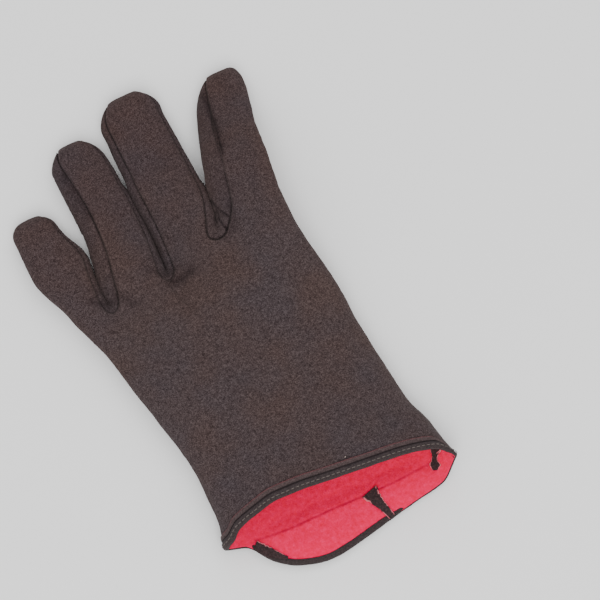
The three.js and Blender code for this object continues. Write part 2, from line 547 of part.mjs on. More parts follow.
// The tape that is folded round the cuff's edge: a section that runs round the rim, each of its corners at a distance
// in from the rim and at a depth under the skin.
function bindingGeometry() {
  const corner = (column, row, point) => ({ column, row, point });
  const rim = [
    ...span(0, COLUMNS).map((column) => corner(column, LAST_ROW, backPoint)),
    ...span(1, COLUMNS - 1).map((column) => corner(COLUMNS - column, LAST_ROW, flatPalmPoint)),
  ];
  const outside = -LAYER_GAP - BINDING;
  const inside = LINING_DEPTH + LINING + LAYER_GAP;
  const section = [
    [BINDING_WIDTH, outside],
    [BINDING_WIDTH / 2, outside],
    [0, outside],
    [outside, 0],
    [outside, inside],
    [0, inside + BINDING],
    [BINDING_TURN, inside + BINDING],
    [BINDING_TURN, inside],
    [-LAYER_GAP, inside],
    [-LAYER_GAP, -LAYER_GAP],
    [BINDING_WIDTH / 2, -LAYER_GAP],
    [BINDING_WIDTH, -LAYER_GAP],
  ];
  const points = rim.flatMap(({ column, point }) => {
    const line = span(0, 3).map((back) => point(column, LAST_ROW - back));
    const normals = line.map((place) => handNormals.get(keyOf(place)));
    const at = (distance) => {
      let [left, i] = [distance, 0];
      while (i < line.length - 2 && left > line[i].distanceTo(line[i + 1])) left -= line[i].distanceTo(line[i++ + 1]);
      const share = left / line[i].distanceTo(line[i + 1]);
      const place = line[i].clone().lerp(line[i + 1], share);
      return { place, normal: mix(normals[i], normals[i + 1], Math.max(0, share)) };
    };
    return section.map(([distance, depth]) => {
      const { place, normal } = at(distance);
      return place.addScaledVector(normal, -depth);
    });
  });
  const triangles = rim.flatMap((_, i) => section.flatMap((_, j) => {
    const next = (i + 1) % rim.length;
    const [a, b] = [i * section.length + j, i * section.length + ((j + 1) % section.length)];
    const [c, d] = [next * section.length + ((j + 1) % section.length), next * section.length + j];
    return [a, b, c, a, c, d];
  }));
  return closedMesh(points, triangles);
}

// A seam's spare cloth on the lining: from one row to another beside a column, as wide as a share of a column there.
function allowancePatch(column, rows, widths) {
  const across = (row, share) => {
    return mix(flatPalmPoint(column, row), flatPalmPoint(column + Math.sign(share), row), Math.abs(share));
  };
  return { grid: rows.map((row, i) => [-widths[i], 0, widths[i]].map((share) => across(row, share))), flip: false };
}

const glove = new THREE.Group();
function addPiece(name, geometry, cloth) {
  const mesh = new THREE.Mesh(geometry, new THREE.MeshStandardMaterial(cloth));
  mesh.name = name;
  glove.add(mesh);
}
const shellPiece = (name, patches) => addPiece(name, sheet(patches, 0, SHELL), JERSEY);
const gussetPiece = (name, patches, skinNormals) => {
  addPiece(name, sheet(patches, GUSSET_DEPTH, GUSSET_DEPTH + SHELL, skinNormals, GUSSET_INSET), JERSEY);
};

shellPiece("back_panel", backPanel);
shellPiece("palm_panel", palmPanel);
shellPiece("middle_fingers_front", middleFronts);
addPiece("thumb_front", sheet([thumbHeel, thumbPatch(false)], 0, SHELL, thumbFrontNormals), JERSEY);
gussetPiece("thumb_back", [thumbPatch(true)], thumbNormals);
gussetPiece("fourchette_little_ring", fourchettes[0]);
gussetPiece("fourchette_ring_middle", fourchettes[1]);
gussetPiece("fourchette_middle_index", fourchettes[2]);

const liningPatches = [
  patch(span(1, LAST_ROW), span(0, COLUMNS), backPoint, true),
  palmPatch(span(1, CROTCH_ROW), span(0, COLUMNS)),
  palmPatch(lowerRows, span(0, SEAM_COLUMN)),
  heelBelowCrotch,
];
addPiece("hand_lining", sheet(liningPatches, LINING_DEPTH, LINING_DEPTH + LINING, handNormals, LINING_INSET), FLEECE);
addPiece("cuff_binding", bindingGeometry(), TAPE);
const spareDepth = LINING_DEPTH + LINING + LAYER_GAP;
const sparePiece = (name, ...place) => {
  addPiece(name, sheet([allowancePatch(...place)], spareDepth, spareDepth + ALLOWANCE), TAPE);
};
sparePiece("palm_seam_allowance", SEAM_COLUMN, [11, 12, 13, 14], [0.75, 0.6, 0.35, 0.25]);
sparePiece("thumb_side_allowance", COLUMNS - 2, [12, 13, 14], [0.8, 0.6, 0.8]);
sparePiece("little_side_allowance", 3, [12, 13, 14], [0.3, 0.8, 0.95]);

export default glove;
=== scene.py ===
"""A fleece-lined jersey work glove for the left hand, lying on its palm with the thumb under the palm.

The cloth is built in millimetres from tables of sizes and turned into metres when its meshes are made. +Y runs from
the cuff to the fingertips, +X towards the thumb side and +Z up, out of the back of the hand.
"""
import math

import bpy
import numpy as np
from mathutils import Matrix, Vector, kdtree, noise
from mathutils.bvhtree import BVHTree


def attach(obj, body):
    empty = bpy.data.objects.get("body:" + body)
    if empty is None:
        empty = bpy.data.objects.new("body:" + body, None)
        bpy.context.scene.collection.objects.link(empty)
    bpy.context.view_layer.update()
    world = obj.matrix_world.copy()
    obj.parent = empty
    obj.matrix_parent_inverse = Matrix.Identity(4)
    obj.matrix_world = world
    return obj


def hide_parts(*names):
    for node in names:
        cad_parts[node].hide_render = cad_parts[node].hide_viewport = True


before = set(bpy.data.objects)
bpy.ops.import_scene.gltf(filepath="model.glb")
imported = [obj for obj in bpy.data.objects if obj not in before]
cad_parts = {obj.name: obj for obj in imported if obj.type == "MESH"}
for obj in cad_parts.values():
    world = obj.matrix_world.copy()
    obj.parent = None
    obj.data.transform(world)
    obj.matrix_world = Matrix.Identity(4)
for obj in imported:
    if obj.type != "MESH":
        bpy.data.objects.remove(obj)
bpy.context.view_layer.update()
MM = 0.001

# Cloth: how thick each layer is, the room between the thumb and the palm over it, and how deep under the skin the
# lining starts, at the rim and elsewhere.
SHELL = 1.1
LINING = 1.0
ALLOWANCE = 0.8
FOLD_GAP = 1.0
RIM_DEPTH = 1.1
LINING_DEPTH = SHELL + 0.6
# Fingers that touch press into each other by PRESSED, and sides that are nearer than NEAR are drawn together.
PRESSED = 0.6
NEAR = 0.4
# The ring finger is pressed against the middle one from further off, up to where their gap opens.
SHUT_PAIR, SHUT_NEAR, SHUT_END = 1, 2.4, (104, 114)
# The gaps between the fingers, from the little one on: where each begins, where it is full, and how much wider it is.
GAPS = [(70, 80, 0.5), (108, 118, 0.7), (86, 97, 0.9)]

# The hand. Rolls and the ramp are radii, RIDGE is the height of the fold in the mouth, and a skew, a shift or a spread
# is how far an edge, the palm's roots or a blend reaches.
HAND_WIDTH = 120.1
KNUCKLE_Y = 56
CUFF_Y = 85
PALM_EXTENSION = 25
ARCH = 21
SIDE_HEIGHT = 8
SIDE_ROLL = 11
THUMB_SIDE_ROLL = 13
RIDGE = 3.2
RIM_HEIGHT = 1.6
CROTCH_BLEND = 26
CROTCH_SPREAD = 18
FINGER_THICKNESS = 16
PALM_SEAM_INSET = 0.1
SIDE_ROUNDNESS = 2.3
CROTCH_DEPTH = (3.6, 4.6, 5.6)
PALM_SHIFT = 19
CROTCH_NOSE = 2.5
CUFF_SKEW = 3.5
ROOT_FADE = 0.24
COLUMN_POWER = 1.4
# The front part of the cuff rises to a crest inside the mouth and drops behind it. The lining's crease along the crest
# is painted as a thin line of shade with a slight dent.
CREST_Y = -92.6
CREST_LEAN = -0.03
CREST_DROP = 8
CREST_SHADE_LINE = [(-26, -88.4), (-15, -90.2), (-4, -91.2), (14, -91.8), (33, -93.1), (51, -93.9), (71, -93.5)]
# A fingertip's length in thicknesses, the reach in widths over which its sides close, and how far they close.
TIP_LENGTH, TIP_REACH, TIP_CLOSING = 0.62, 0.52, 0.9
THUMB_LENGTH = 80
THUMB_WIDTH = 38
THUMB_THICKNESS = 13.5
THUMB_X = 48.5
FLATTENED = 1.14
PALM_RAMP = 16

# Each finger's sides along its length as shares of its width, and its seams' distance in from them as shares of half
# its width. Columns: along, left, right, left seam, right seam.
LEFT, RIGHT, LEFT_SEAM, RIGHT_SEAM = 1, 2, 3, 4
LITTLE = np.array([
    (0.0, -0.5, 0.5, 0, 0.36),
    (0.2, -0.77, 0.44, 0, 0.22),
    (0.38, -1.03, 0.51, 0, 0.16),
    (0.53, -1.2, 0.55, 0, 0.12),
    (0.8, -1.27, 0.16, 0, 0.1),
    (1.0, -1.26, 0.02, 0, 0.1),
])
RING = np.array([
    (0.0, -0.5, 0.5, 0.26, 0.28),
    (0.12, -0.53, 0.52, 0.42, 0.2),
    (0.36, -0.46, 0.55, 0.5, 0.14),
    (0.7, -0.42, 0.55, 0.48, 0.12),
    (0.88, -0.42, 0.51, 0.34, 0.1),
    (1.0, -0.38, 0.46, 0.1, 0.1),
])
MIDDLE = np.array([
    (0.0, -0.5, 0.5, 0.26, 0.44),
    (0.1, -0.48, 0.61, 0.25, 0.34),
    (0.22, -0.45, 0.68, 0.24, 0.2),
    (0.34, -0.44, 0.73, 0.24, 0.14),
    (0.62, -0.44, 0.74, 0.22, 0.12),
    (0.86, -0.4, 0.73, 0.18, 0.1),
    (1.0, -0.34, 0.72, 0.1, 0.1),
])
INDEX = np.array([
    (0.0, -0.5, 0.5, 0.42, 0),
    (0.1, -0.39, 0.54, 0.56, 0),
    (0.34, -0.3, 0.62, 0.64, 0),
    (0.58, -0.14, 0.71, 0.56, 0),
    (0.84, 0.07, 0.84, 0.44, 0),
    (1.0, 0.18, 0.97, 0.1, 0),
])
FINGERS = [
    dict(share=0.15, length=68.5, thick=0.94, root=0.48, tip=0.41, roll=0.0, shape=LITTLE),
    dict(share=0.262, length=94.5, thick=1.0, root=0.49, tip=0.4, roll=0.04, shape=RING),
    dict(share=0.264, length=102.5, thick=1.03, root=0.7, tip=0.4, roll=0.38, shape=MIDDLE),
    dict(share=0.324, length=84.3, thick=1.0, root=1.4, tip=0.4, roll=0.22, shape=INDEX),
]
# Across the knuckles: along, rise.
KNUCKLES = np.array([(0.0, -0.05), (0.28, -0.02), (0.53, 0.008), (0.68, 0.058), (0.84, 0.075), (1.0, 0.035)])
# From the cuff to the knuckles: along, left side, right side, left side's height, right side's height, arch.
LEFT_SIDE, RIGHT_SIDE, BACK_ARCH = 3, 4, 5
HAND = np.array([
    (0.0, -0.35, 0.695, 0.8, 1.7, 1.06),
    (0.12, -0.32, 0.645, 0.9, 1.55, 0.98),
    (0.26, -0.314, 0.616, 1.0, 1.45, 0.88),
    (0.53, -0.347, 0.594, 1.0, 1.4, 0.76),
    (0.69, -0.384, 0.578, 1.0, 1.7, 0.68),
    (0.8, -0.404, 0.562, 0.98, 2.3, 0.56),
    (0.9, -0.43, 0.542, 0.94, 2.68, 0.44),
    (1.0, -0.456, 0.544, 0.9, 2.81, 0.34),
])
# Across the mouth: along, how far the back's edge is drawn in, how far the palm's reaches out, height of the fold.
BACK_IN, PALM_OUT, FOLD = 1, 2, 3
MOUTH = np.array([
    (0.0, -0.17, 0.17, 0.3),
    (0.03, -0.13, 0.2, 0.5),
    (0.08, 0.03, 0.27, 0.66),
    (0.18, 0.15, 0.83, 0.9),
    (0.26, 0.22, 1.03, 1.0),
    (0.36, 0.2, 1.12, 1.0),
    (0.48, 0.14, 1.06, 1.0),
    (0.62, 0.08, 0.95, 1.0),
    (0.78, 0.02, 0.8, 0.95),
    (0.92, -0.1, 0.66, 0.6),
    (1.0, -0.36, 0.36, 0.2),
])
# Along the thumb: along, left, right.
THUMB = np.array([(0.0, -0.87, 0.52), (0.25, -0.62, 0.47), (0.5, -0.45, 0.5), (0.75, -0.27, 0.54), (1.0, -0.1, 0.56)])
# The palm's long seam: along, across.
PALM_SEAM = np.array([(0.0, 0.36), (0.15, 0.31), (0.3, 0.262), (0.6, 0.165), (0.8, 0.135), (1.0, 0.129)])

# Cells: whole numbers count the coarse cells of the pattern, and the meshes are made between them.
FINGER_CELLS = 4
CROTCH_CELLS = 2
SIDE_CELLS = 3
BLOCK = FINGER_CELLS + CROTCH_CELLS
COLUMNS = 4 * BLOCK - CROTCH_CELLS
SEAM_COLUMN = 2 * BLOCK + FINGER_CELLS // 2
LENGTH_ROWS = 5
TIP_ROWS = 4
ROWS = np.array([0, 0.08, 0.15, 0.21, 0.26, 0.3, 0.4, 0.52, 0.64, 0.74, 0.81, 0.86, 0.9, 0.93, 0.965, 1])
CROTCH_ROW = 5
FRONT_ROW = 1
THUMB_ROWS = 5
LAST_ROW = len(ROWS) - 1
ROWS_LENGTH = 170
FINGER_END = LENGTH_ROWS + TIP_ROWS


def lerp(a, b, t):
    return a + (b - a) * t


def within(x):
    return np.clip(x, 0, 1)


def smooth(x, low, high):
    t = within((x - low) / (high - low))
    return t * t * (3 - 2 * t)


def read(table, column, along):
    """One column of a table at places along it, on a smooth curve through its rows that doesn't overshoot."""
    x, y = table[:, 0], table[:, column]
    slope = np.diff(y) / np.diff(x)
    before, after = slope[:-1], slope[1:]
    total = np.where(before + after == 0, 1, before + after)
    inner = np.where(before * after <= 0, 0, 2 * before * after / total)
    tangent = np.concatenate([slope[:1], inner, slope[-1:]])
    along = np.asarray(along, float)
    i = np.clip(np.searchsorted(x, along, side="left") - 1, 0, len(x) - 2)
    step = x[i + 1] - x[i]
    t = within((along - x[i]) / step)
    rise = y[i + 1] - y[i]
    m0, m1 = tangent[i] * step, tangent[i + 1] * step
    return y[i] + m0 * t + (3 * rise - 2 * m0 - m1) * t * t + (m0 + m1 - 2 * rise) * t**3


def rounded(angle):
    """Where a rounded section stands at an angle: 0 is its right side, a quarter turn its top."""
    c, s = np.cos(angle), np.sin(angle)
    power = 2 / SIDE_ROUNDNESS
    return np.sign(c) * np.abs(c) ** power, np.sign(s) * np.abs(s) ** power


def angle_of(inset):
    """The angle of a place on a rounded section that lies a share of half its width in from its side."""
    return np.arccos(within(1 - inset) ** (SIDE_ROUNDNESS / 2))


def roll(distance, radius):
    """How much of a side's height is left at a distance in from the side."""
    return 1 - np.sqrt(1 - (1 - within(distance / radius)) ** 2)


def arch(share):
    return within(1 - np.abs(2 * share - 1) ** SIDE_ROUNDNESS) ** (1 / SIDE_ROUNDNESS)


def side_x(column, along):
    return read(HAND, column, along) * HAND_WIDTH


def side_z(column, along):
    return read(HAND, column, along) * SIDE_HEIGHT


def hand_x(across, along):
    return lerp(side_x(LEFT, along), side_x(RIGHT, along), across)


def knuckle_y(across):
    return KNUCKLE_Y + read(KNUCKLES, 1, across) * HAND_WIDTH


def cuff_y(across):
    return -CUFF_Y + (0.5 - across) * 2 * CUFF_SKEW


LEFT_KNUCKLE = float(side_x(LEFT, 1))
RIGHT_KNUCKLE = float(side_x(RIGHT, 1))
edge = LEFT_KNUCKLE
for finger in FINGERS:
    finger["width"] = finger["share"] * HAND_WIDTH
    finger["thickness"] = finger["thick"] * FINGER_THICKNESS
    finger["middle"] = edge + finger["width"] / 2
    finger["root_across"] = (finger["middle"] - LEFT_KNUCKLE) / HAND_WIDTH
    finger["root_y"] = float(knuckle_y(finger["root_across"]))
    finger["tip_y"] = finger["root_y"] + finger["length"]
    edge += finger["width"]


def across_knuckles(x):
    return (x - LEFT_KNUCKLE) / HAND_WIDTH


def point(x, y, z):
    return np.stack(np.broadcast_arrays(x, y, z), axis=-1)


def unit(vector):
    return vector / np.linalg.norm(vector)


def lengths(vectors):
    return np.linalg.norm(vectors, axis=1)


def bell(x, width):
    return np.exp(-((x / width) ** 2))


def sum_up(steps):
    """Where each place lies along a line that is made of steps."""
    return np.concatenate([[0], np.cumsum(steps)])


def own_side(finger, side, y):
    along = within((y - finger["root_y"]) / finger["length"])
    return finger["middle"] + read(finger["shape"], side, along) * finger["width"]


def clear_side(index, side, y):
    """A finger's side, stopped by the finger beside it, and pressed against it where they nearly touch."""
    x = own_side(FINGERS[index], side, y)
    step = -1 if side == LEFT else 1
    if not 0 <= index + step <= 3:
        return x
    neighbour = FINGERS[index + step]
    other = own_side(neighbour, LEFT + RIGHT - side, y)
    apart = step * (other - x)
    touching = (x + other) / 2 + step * PRESSED / 2
    pair = min(index, index + step)
    near = SHUT_NEAR * (1 - smooth(y, *SHUT_END)) if pair == SHUT_PAIR else NEAR
    start, full, wider = GAPS[pair]
    limited = lerp(x, touching, 1 - smooth(apart, near / 2, near + 0.1)) - step * wider * smooth(y, start, full)
    return lerp(limited, x, smooth(y, neighbour["tip_y"] - 9, neighbour["tip_y"]))


def tip_row(row, straight_rows, length, width, thickness):
    """Where a row stands along a finger, how thick and wide it is there, and how far the tip's seams have closed."""
    row = np.asarray(row, float)
    straight = 1 - TIP_LENGTH * thickness / length
    angle = np.maximum(0, row - straight_rows) / TIP_ROWS * (math.pi / 2)
    along = np.where(row <= straight_rows, straight * row / straight_rows, lerp(straight, 1, np.sin(angle)))
    reach = TIP_REACH * width / length
    into = within((along - 1 + reach) / reach)
    closing = within(straight_rows + TIP_ROWS - 1 - row)
    return along, np.cos(angle), np.sqrt(1 - (TIP_CLOSING * into) ** 2), closing


def finger_point(index, side, across, row):
    """A point on a finger's back, front, left or right side, where across runs from 0 to 1."""
    finger = FINGERS[index]
    shape = finger["shape"]
    along, thick, wide, closing = tip_row(row, LENGTH_ROWS, finger["length"], finger["width"], finger["thickness"])
    left, right = (angle_of(read(shape, column, along) * closing) for column in (LEFT_SEAM, RIGHT_SEAM))
    under = [angle_of(PALM_SEAM_INSET * closing * (shape[0, column] > 0)) for column in (LEFT_SEAM, RIGHT_SEAM)]
    start, end = {
        "back": (math.pi - left, right),
        "front": (math.pi + under[0], 2 * math.pi - under[1]),
        "right": (right, -under[1]),
        "left": (math.pi - left, math.pi + under[0]),
    }[side]
    sideways, up = rounded(lerp(start, end, across))
    knuckle = knuckle_y(within(finger["root_across"] + sideways * finger["width"] / 2 / HAND_WIDTH))
    root = knuckle + PALM_SHIFT * (1 - up) / 2
    y = lerp(root, finger["tip_y"], along)
    x_left, x_right = clear_side(index, LEFT, y), clear_side(index, RIGHT, y)
    half = (x_right - x_left) / 2 * wide
    x = (x_left + x_right) / 2 + half * sideways
    lift = finger["thickness"] * lerp(finger["root"], finger["tip"], smooth(along, 0.25, 0.95))
    lean = finger["roll"] * (1 - smooth(along, 0.0, 0.6)) * half * sideways
    return point(x, y, np.maximum(0, lift + lean + up * thick * finger["thickness"] / 2))


def crotch_point(index, down, turn):
    """A point between a finger and the next one: down from the back's seam to the palm's, turn from one to the next."""
    start = finger_point(index, "right", down, 0)
    end = finger_point(index + 1, "left", down, 0)
    turn = np.asarray(turn, float)
    at = start + (end - start) * turn[..., None]
    depth = CROTCH_DEPTH[index] * (1 - 0.7 * np.asarray(down)) - CROTCH_NOSE * np.sin(math.pi * np.asarray(down))
    at[..., 1] -= np.maximum(0.5, depth) * np.sin(math.pi * turn)
    return at


def knuckle_point(column, down):
    """The knuckle row on the back or the palm."""
    column = np.asarray(column, float)
    out = np.zeros(column.shape + (3,))
    for index in range(4):
        cell = column - index * BLOCK
        on = (cell >= 0) & (cell <= FINGER_CELLS)
        out[on] = finger_point(index, "front" if down else "back", cell[on] / FINGER_CELLS, 0)
        on = (cell > FINGER_CELLS) & (cell < BLOCK)
        if on.any():
            out[on] = crotch_point(index, down, (cell[on] - FINGER_CELLS) / CROTCH_CELLS)
    return out


def share_of(row):
    return np.interp(row, np.arange(len(ROWS)), ROWS)


def back_height(across, along):
    side = lerp(side_z(LEFT_SIDE, along), side_z(RIGHT_SIDE, along), across)
    return side + ARCH * read(HAND, BACK_ARCH, along) * arch(across)


def back_point(column, row):
    column, row = np.broadcast_arrays(column, row)
    share = share_of(row)
    start = knuckle_point(column, 0)
    start_across = within(across_knuckles(start[..., 0]))
    end_across = (1 - np.cos(math.pi * column / COLUMNS)) / 2
    across = lerp(start_across, end_across, smooth(share, 0, 1))
    end = cuff_y(end_across) + read(MOUTH, BACK_IN, end_across) * PALM_EXTENSION
    along = 1 - share
    fade = 1 - smooth(share, 0, ROOT_FADE)
    drift = start[..., 0] - lerp(LEFT_KNUCKLE, RIGHT_KNUCKLE, start_across)
    relief = start[..., 2] - back_height(start_across, 1)
    x = hand_x(across, along) + drift * fade
    return point(x, lerp(start[..., 1], end, share), back_height(across, along) + relief * fade)


CROTCH_SHARE = ROWS[CROTCH_ROW]
PALM_LENGTH = KNUCKLE_Y + PALM_SHIFT + CUFF_Y + PALM_EXTENSION
CROTCH_Y = KNUCKLE_Y + PALM_SHIFT - CROTCH_SHARE * PALM_LENGTH


def thumb_side(side, along):
    return THUMB_X + read(THUMB, side, along) * THUMB_WIDTH


def palm_across(column, share):
    """Where a column crosses the hand below the thumb's crotch: the long seam runs down one of the columns."""
    along = within((1 - share) / (1 - CROTCH_SHARE))
    left, right = side_x(LEFT, 1 - share), side_x(RIGHT, 1 - share)
    seam = (read(PALM_SEAM, 1, along) * HAND_WIDTH - left) / (right - left)
    near = seam * (np.minimum(column, SEAM_COLUMN) / SEAM_COLUMN) ** COLUMN_POWER
    far = 1 - (1 - seam) * ((COLUMNS - np.maximum(column, SEAM_COLUMN)) / (COLUMNS - SEAM_COLUMN)) ** COLUMN_POWER
    return np.where(column <= SEAM_COLUMN, near, far)


def palm_height(x, y, rim_y, across, share, lifted):
    """The height of the palm's sheet, lifted off the surface by the thumb by an amount from 0 to 1."""
    along = 1 - share
    left, right = side_x(LEFT, along), side_x(RIGHT, along)
    beyond = np.maximum(0, (CROTCH_SHARE - share) * PALM_LENGTH)
    spreading = smooth(beyond, 0, CROTCH_SPREAD)
    free_edge = thumb_side(LEFT, within(beyond / THUMB_LENGTH))
    thumb_edge = lerp(read(PALM_SEAM, 1, 1) * HAND_WIDTH, free_edge, smooth(beyond, 0, CROTCH_BLEND))
    start = thumb_edge - 2.5 * FOLD_GAP * smooth(beyond, 0, 0.4 * CROTCH_SPREAD)
    into = within((x - start) / (right - start))
    steep = np.sqrt(1 - (1 - within((x - start) / PALM_RAMP)) ** 2)
    ramp = lerp(steep, smooth(x, start - 0.6 * PALM_RAMP, start + 0.4 * PALM_RAMP), spreading)
    side = side_z(RIGHT_SIDE, along)
    top = lerp(0.55 * side, THUMB_THICKNESS + FOLD_GAP, spreading)
    over_thumb = top * ramp + (1 - spreading) * (side - top) * into**2
    crest = CREST_Y + CREST_LEAN * x
    behind = 1 - smooth(y, crest, crest + CREST_DROP)
    front = 1 - within((crest - y) / np.maximum(2, crest - rim_y)) ** 1.25
    rise = RIM_HEIGHT * smooth(share, 0.7, 0.9)
    flat = rise + np.maximum(0, RIDGE * read(MOUTH, FOLD, across) - rise) * behind * front
    base = lerp(flat, over_thumb, lifted)
    at_left = np.maximum(0, side_z(LEFT_SIDE, along) - base) * roll(x - left, SIDE_ROLL)
    at_right = np.maximum(0, side - base) * roll(right - x, THUMB_SIDE_ROLL)
    return base + at_left + at_right


def palm_point(column, row, lifted):
    column, row, lifted = np.broadcast_arrays(column, row, lifted)
    share = share_of(row)
    start = knuckle_point(column, 1)
    start_across = within(across_knuckles(start[..., 0]))
    blend = within(share / CROTCH_SHARE)
    across = lerp(start_across, palm_across(column, np.maximum(share, CROTCH_SHARE)), blend)
    end = cuff_y(across) - read(MOUTH, PALM_OUT, across) * PALM_EXTENSION
    y = lerp(start[..., 1], end, share)
    fade = 1 - smooth(share, 0, ROOT_FADE)
    start_x = lerp(LEFT_KNUCKLE, RIGHT_KNUCKLE, start_across)
    x = hand_x(across, 1 - share)
    relief = start[..., 2] - palm_height(start_x, start[..., 1], end, start_across, 0.0, 1.0)
    z = palm_height(x, y, end, across, share, lifted) + relief * fade
    return point(x + (start[..., 0] - start_x) * fade, y, np.maximum(0, z))


def thumb_point(column, row, upper):
    """The thumb's lower sheet goes on from the palm, and its upper sheet starts at the crotch."""
    column, row = np.broadcast_arrays(column, row)
    along, thick, wide, _ = tip_row(row, THUMB_ROWS, THUMB_LENGTH, THUMB_WIDTH, THUMB_THICKNESS)
    start = palm_point(column, CROTCH_ROW, 1.0 if upper else 0.0)
    share = (column - SEAM_COLUMN) / (COLUMNS - SEAM_COLUMN)
    sideways, up = rounded(math.pi * (1 - share) if upper else math.pi * (1 + share))
    y = lerp(start[..., 1], CROTCH_Y + THUMB_LENGTH, along)
    left, right = thumb_side(LEFT, along), thumb_side(RIGHT, along)
    x = (left + right) / 2 + (right - left) / 2 * wide * sideways
    z = THUMB_THICKNESS / 2 + up * thick * THUMB_THICKNESS * (1 if upper else FLATTENED) / 2
    blend = smooth(y - start[..., 1], 0, CROTCH_BLEND)
    return point(lerp(start[..., 0], x, blend), y, lerp(start[..., 2], np.maximum(0, z), blend))


# Steps of the meshes for each cell, and the distance between the hand's rows, up to the cuff and on it.
ACROSS_STEPS, CROTCH_STEPS, SIDE_STEPS = 6, 5, 4
FINGER_STEPS, THUMB_STEPS, TIP_STEPS = 14, 13, 5
ROW_STEP, CUFF_ROW_STEP, CUFF_ROW = 1.3, 0.85, 10


def between(low, high, counts):
    """Places from low to high, with a count of steps for each whole cell."""
    steps = [np.linspace(i, i + 1, counts(i), endpoint=False) for i in range(low, high)]
    return np.concatenate(steps + [[high]])


def columns(low, high):
    return between(low, high, lambda i: ACROSS_STEPS if i % BLOCK < FINGER_CELLS else CROTCH_STEPS)


def rows(low, high):
    def count(i):
        return math.ceil((ROWS[i + 1] - ROWS[i]) * ROWS_LENGTH / (ROW_STEP if i < CUFF_ROW else CUFF_ROW_STEP))
    return between(low, high, count)


def finger_rows(last, steps=FINGER_STEPS):
    return between(0, last, lambda i: steps if i < LENGTH_ROWS else TIP_STEPS)


# Patches of skin: the piece that each belongs to, its grid of points, and whether its faces are turned over. Points on
# the patches' edges that are nearer than WELD become one.
PATCHES = []
WELD = 0.02


def patch(piece, row_places, column_places, place, flip=False):
    PATCHES.append((piece, place(np.asarray(column_places)[None, :], np.asarray(row_places)[:, None]), flip))
    return len(PATCHES) - 1


def finger_patch(piece, index, side):
    across = between(0, FINGER_CELLS, lambda i: ACROSS_STEPS) / FINGER_CELLS
    patch(piece, finger_rows(FINGER_END), across, lambda c, r: finger_point(index, side, c, r), side == "front")


def palm_patch(piece, row_places, column_places, flat=False):
    def place(c, r):
        return palm_point(c, r, 0.0 if flat else within(CROTCH_ROW + 1 - r))
    return patch(piece, row_places, column_places, place)


BACK_HAND = patch("back_panel", rows(0, LAST_ROW), columns(0, COLUMNS), back_point, True)
for index in range(4):
    finger_patch("back_panel", index, "back")
PALM_LEFT = palm_patch("palm_panel", rows(CROTCH_ROW, LAST_ROW), columns(0, SEAM_COLUMN))
PALM_BEYOND = palm_patch("palm_panel", rows(FRONT_ROW, CROTCH_ROW), columns(0, COLUMNS))
palm_patch("palm_panel", rows(0, FRONT_ROW), columns(0, BLOCK))
palm_patch("palm_panel", rows(0, FRONT_ROW), columns(COLUMNS - BLOCK, COLUMNS))
finger_patch("palm_panel", 0, "front")
finger_patch("palm_panel", 3, "front")
palm_patch("middle_fingers_front", rows(0, FRONT_ROW), columns(BLOCK, COLUMNS - BLOCK))
finger_patch("middle_fingers_front", 1, "front")
finger_patch("middle_fingers_front", 2, "front")
THUMB_HEEL = palm_patch("thumb_front", rows(CROTCH_ROW, LAST_ROW), columns(SEAM_COLUMN, COLUMNS), flat=True)
thumb_rows = finger_rows(THUMB_ROWS + TIP_ROWS, THUMB_STEPS)
patch("thumb_front", thumb_rows, columns(SEAM_COLUMN, COLUMNS), lambda c, r: thumb_point(c, r, False), True)
patch("thumb_back", thumb_rows, columns(SEAM_COLUMN, COLUMNS), lambda c, r: thumb_point(c, r, True))
GUSSETS = ("fourchette_little_ring", "fourchette_ring_middle", "fourchette_middle_index")
down = between(0, SIDE_CELLS, lambda i: SIDE_STEPS) / SIDE_CELLS
turn = between(0, CROTCH_CELLS, lambda i: CROTCH_STEPS) / CROTCH_CELLS
for index, piece in enumerate(GUSSETS):
    for which, side, flip in ((index, "right", False), (index + 1, "left", True)):
        patch(piece, finger_rows(FINGER_END - 1), down, lambda c, r, w=which, s=side: finger_point(w, s, c, r), flip)
    patch(piece, turn, down, lambda c, r, i=index: crotch_point(i, *np.broadcast_arrays(c, r)), True)


def tree_of(points, ids):
    """A tree that finds the nearest of some of the points."""
    tree = kdtree.KDTree(len(ids))
    for i in ids:
        tree.insert(points[i], int(i))
    tree.balance()
    return tree


def join_patches():
    """The skin's points, all patches joined where their edges meet, and each patch as a grid of their numbers."""
    points = np.concatenate([grid.reshape(-1, 3) for _, grid, _ in PATCHES])
    same = np.arange(len(points))
    grids, start = [], 0
    for _, grid, _ in PATCHES:
        rows, columns, _ = grid.shape
        grids.append(same[start:start + rows * columns].reshape(rows, columns))
        start += rows * columns
    edge_ids = np.unique(np.concatenate([edge for ids in grids for edge in (ids[0], ids[-1], ids[:, 0], ids[:, -1])]))
    grids = [ids.copy() for ids in grids]
    tree = tree_of(points, edge_ids)
    for i in edge_ids:
        same[i] = min(found for _, found, _ in tree.find_range(points[i], WELD))
    while (same[same] != same).any():
        same = same[same]
    kept, ids = np.unique(same, return_inverse=True)
    return points[kept], [ids[grid] for grid in grids]


def quads(grid, flip):
    a, b, c, d = grid[:-1, :-1], grid[:-1, 1:], grid[1:, 1:], grid[1:, :-1]
    order = (a, d, c, b) if flip else (a, b, c, d)
    return np.stack([corner.ravel() for corner in order], axis=1)


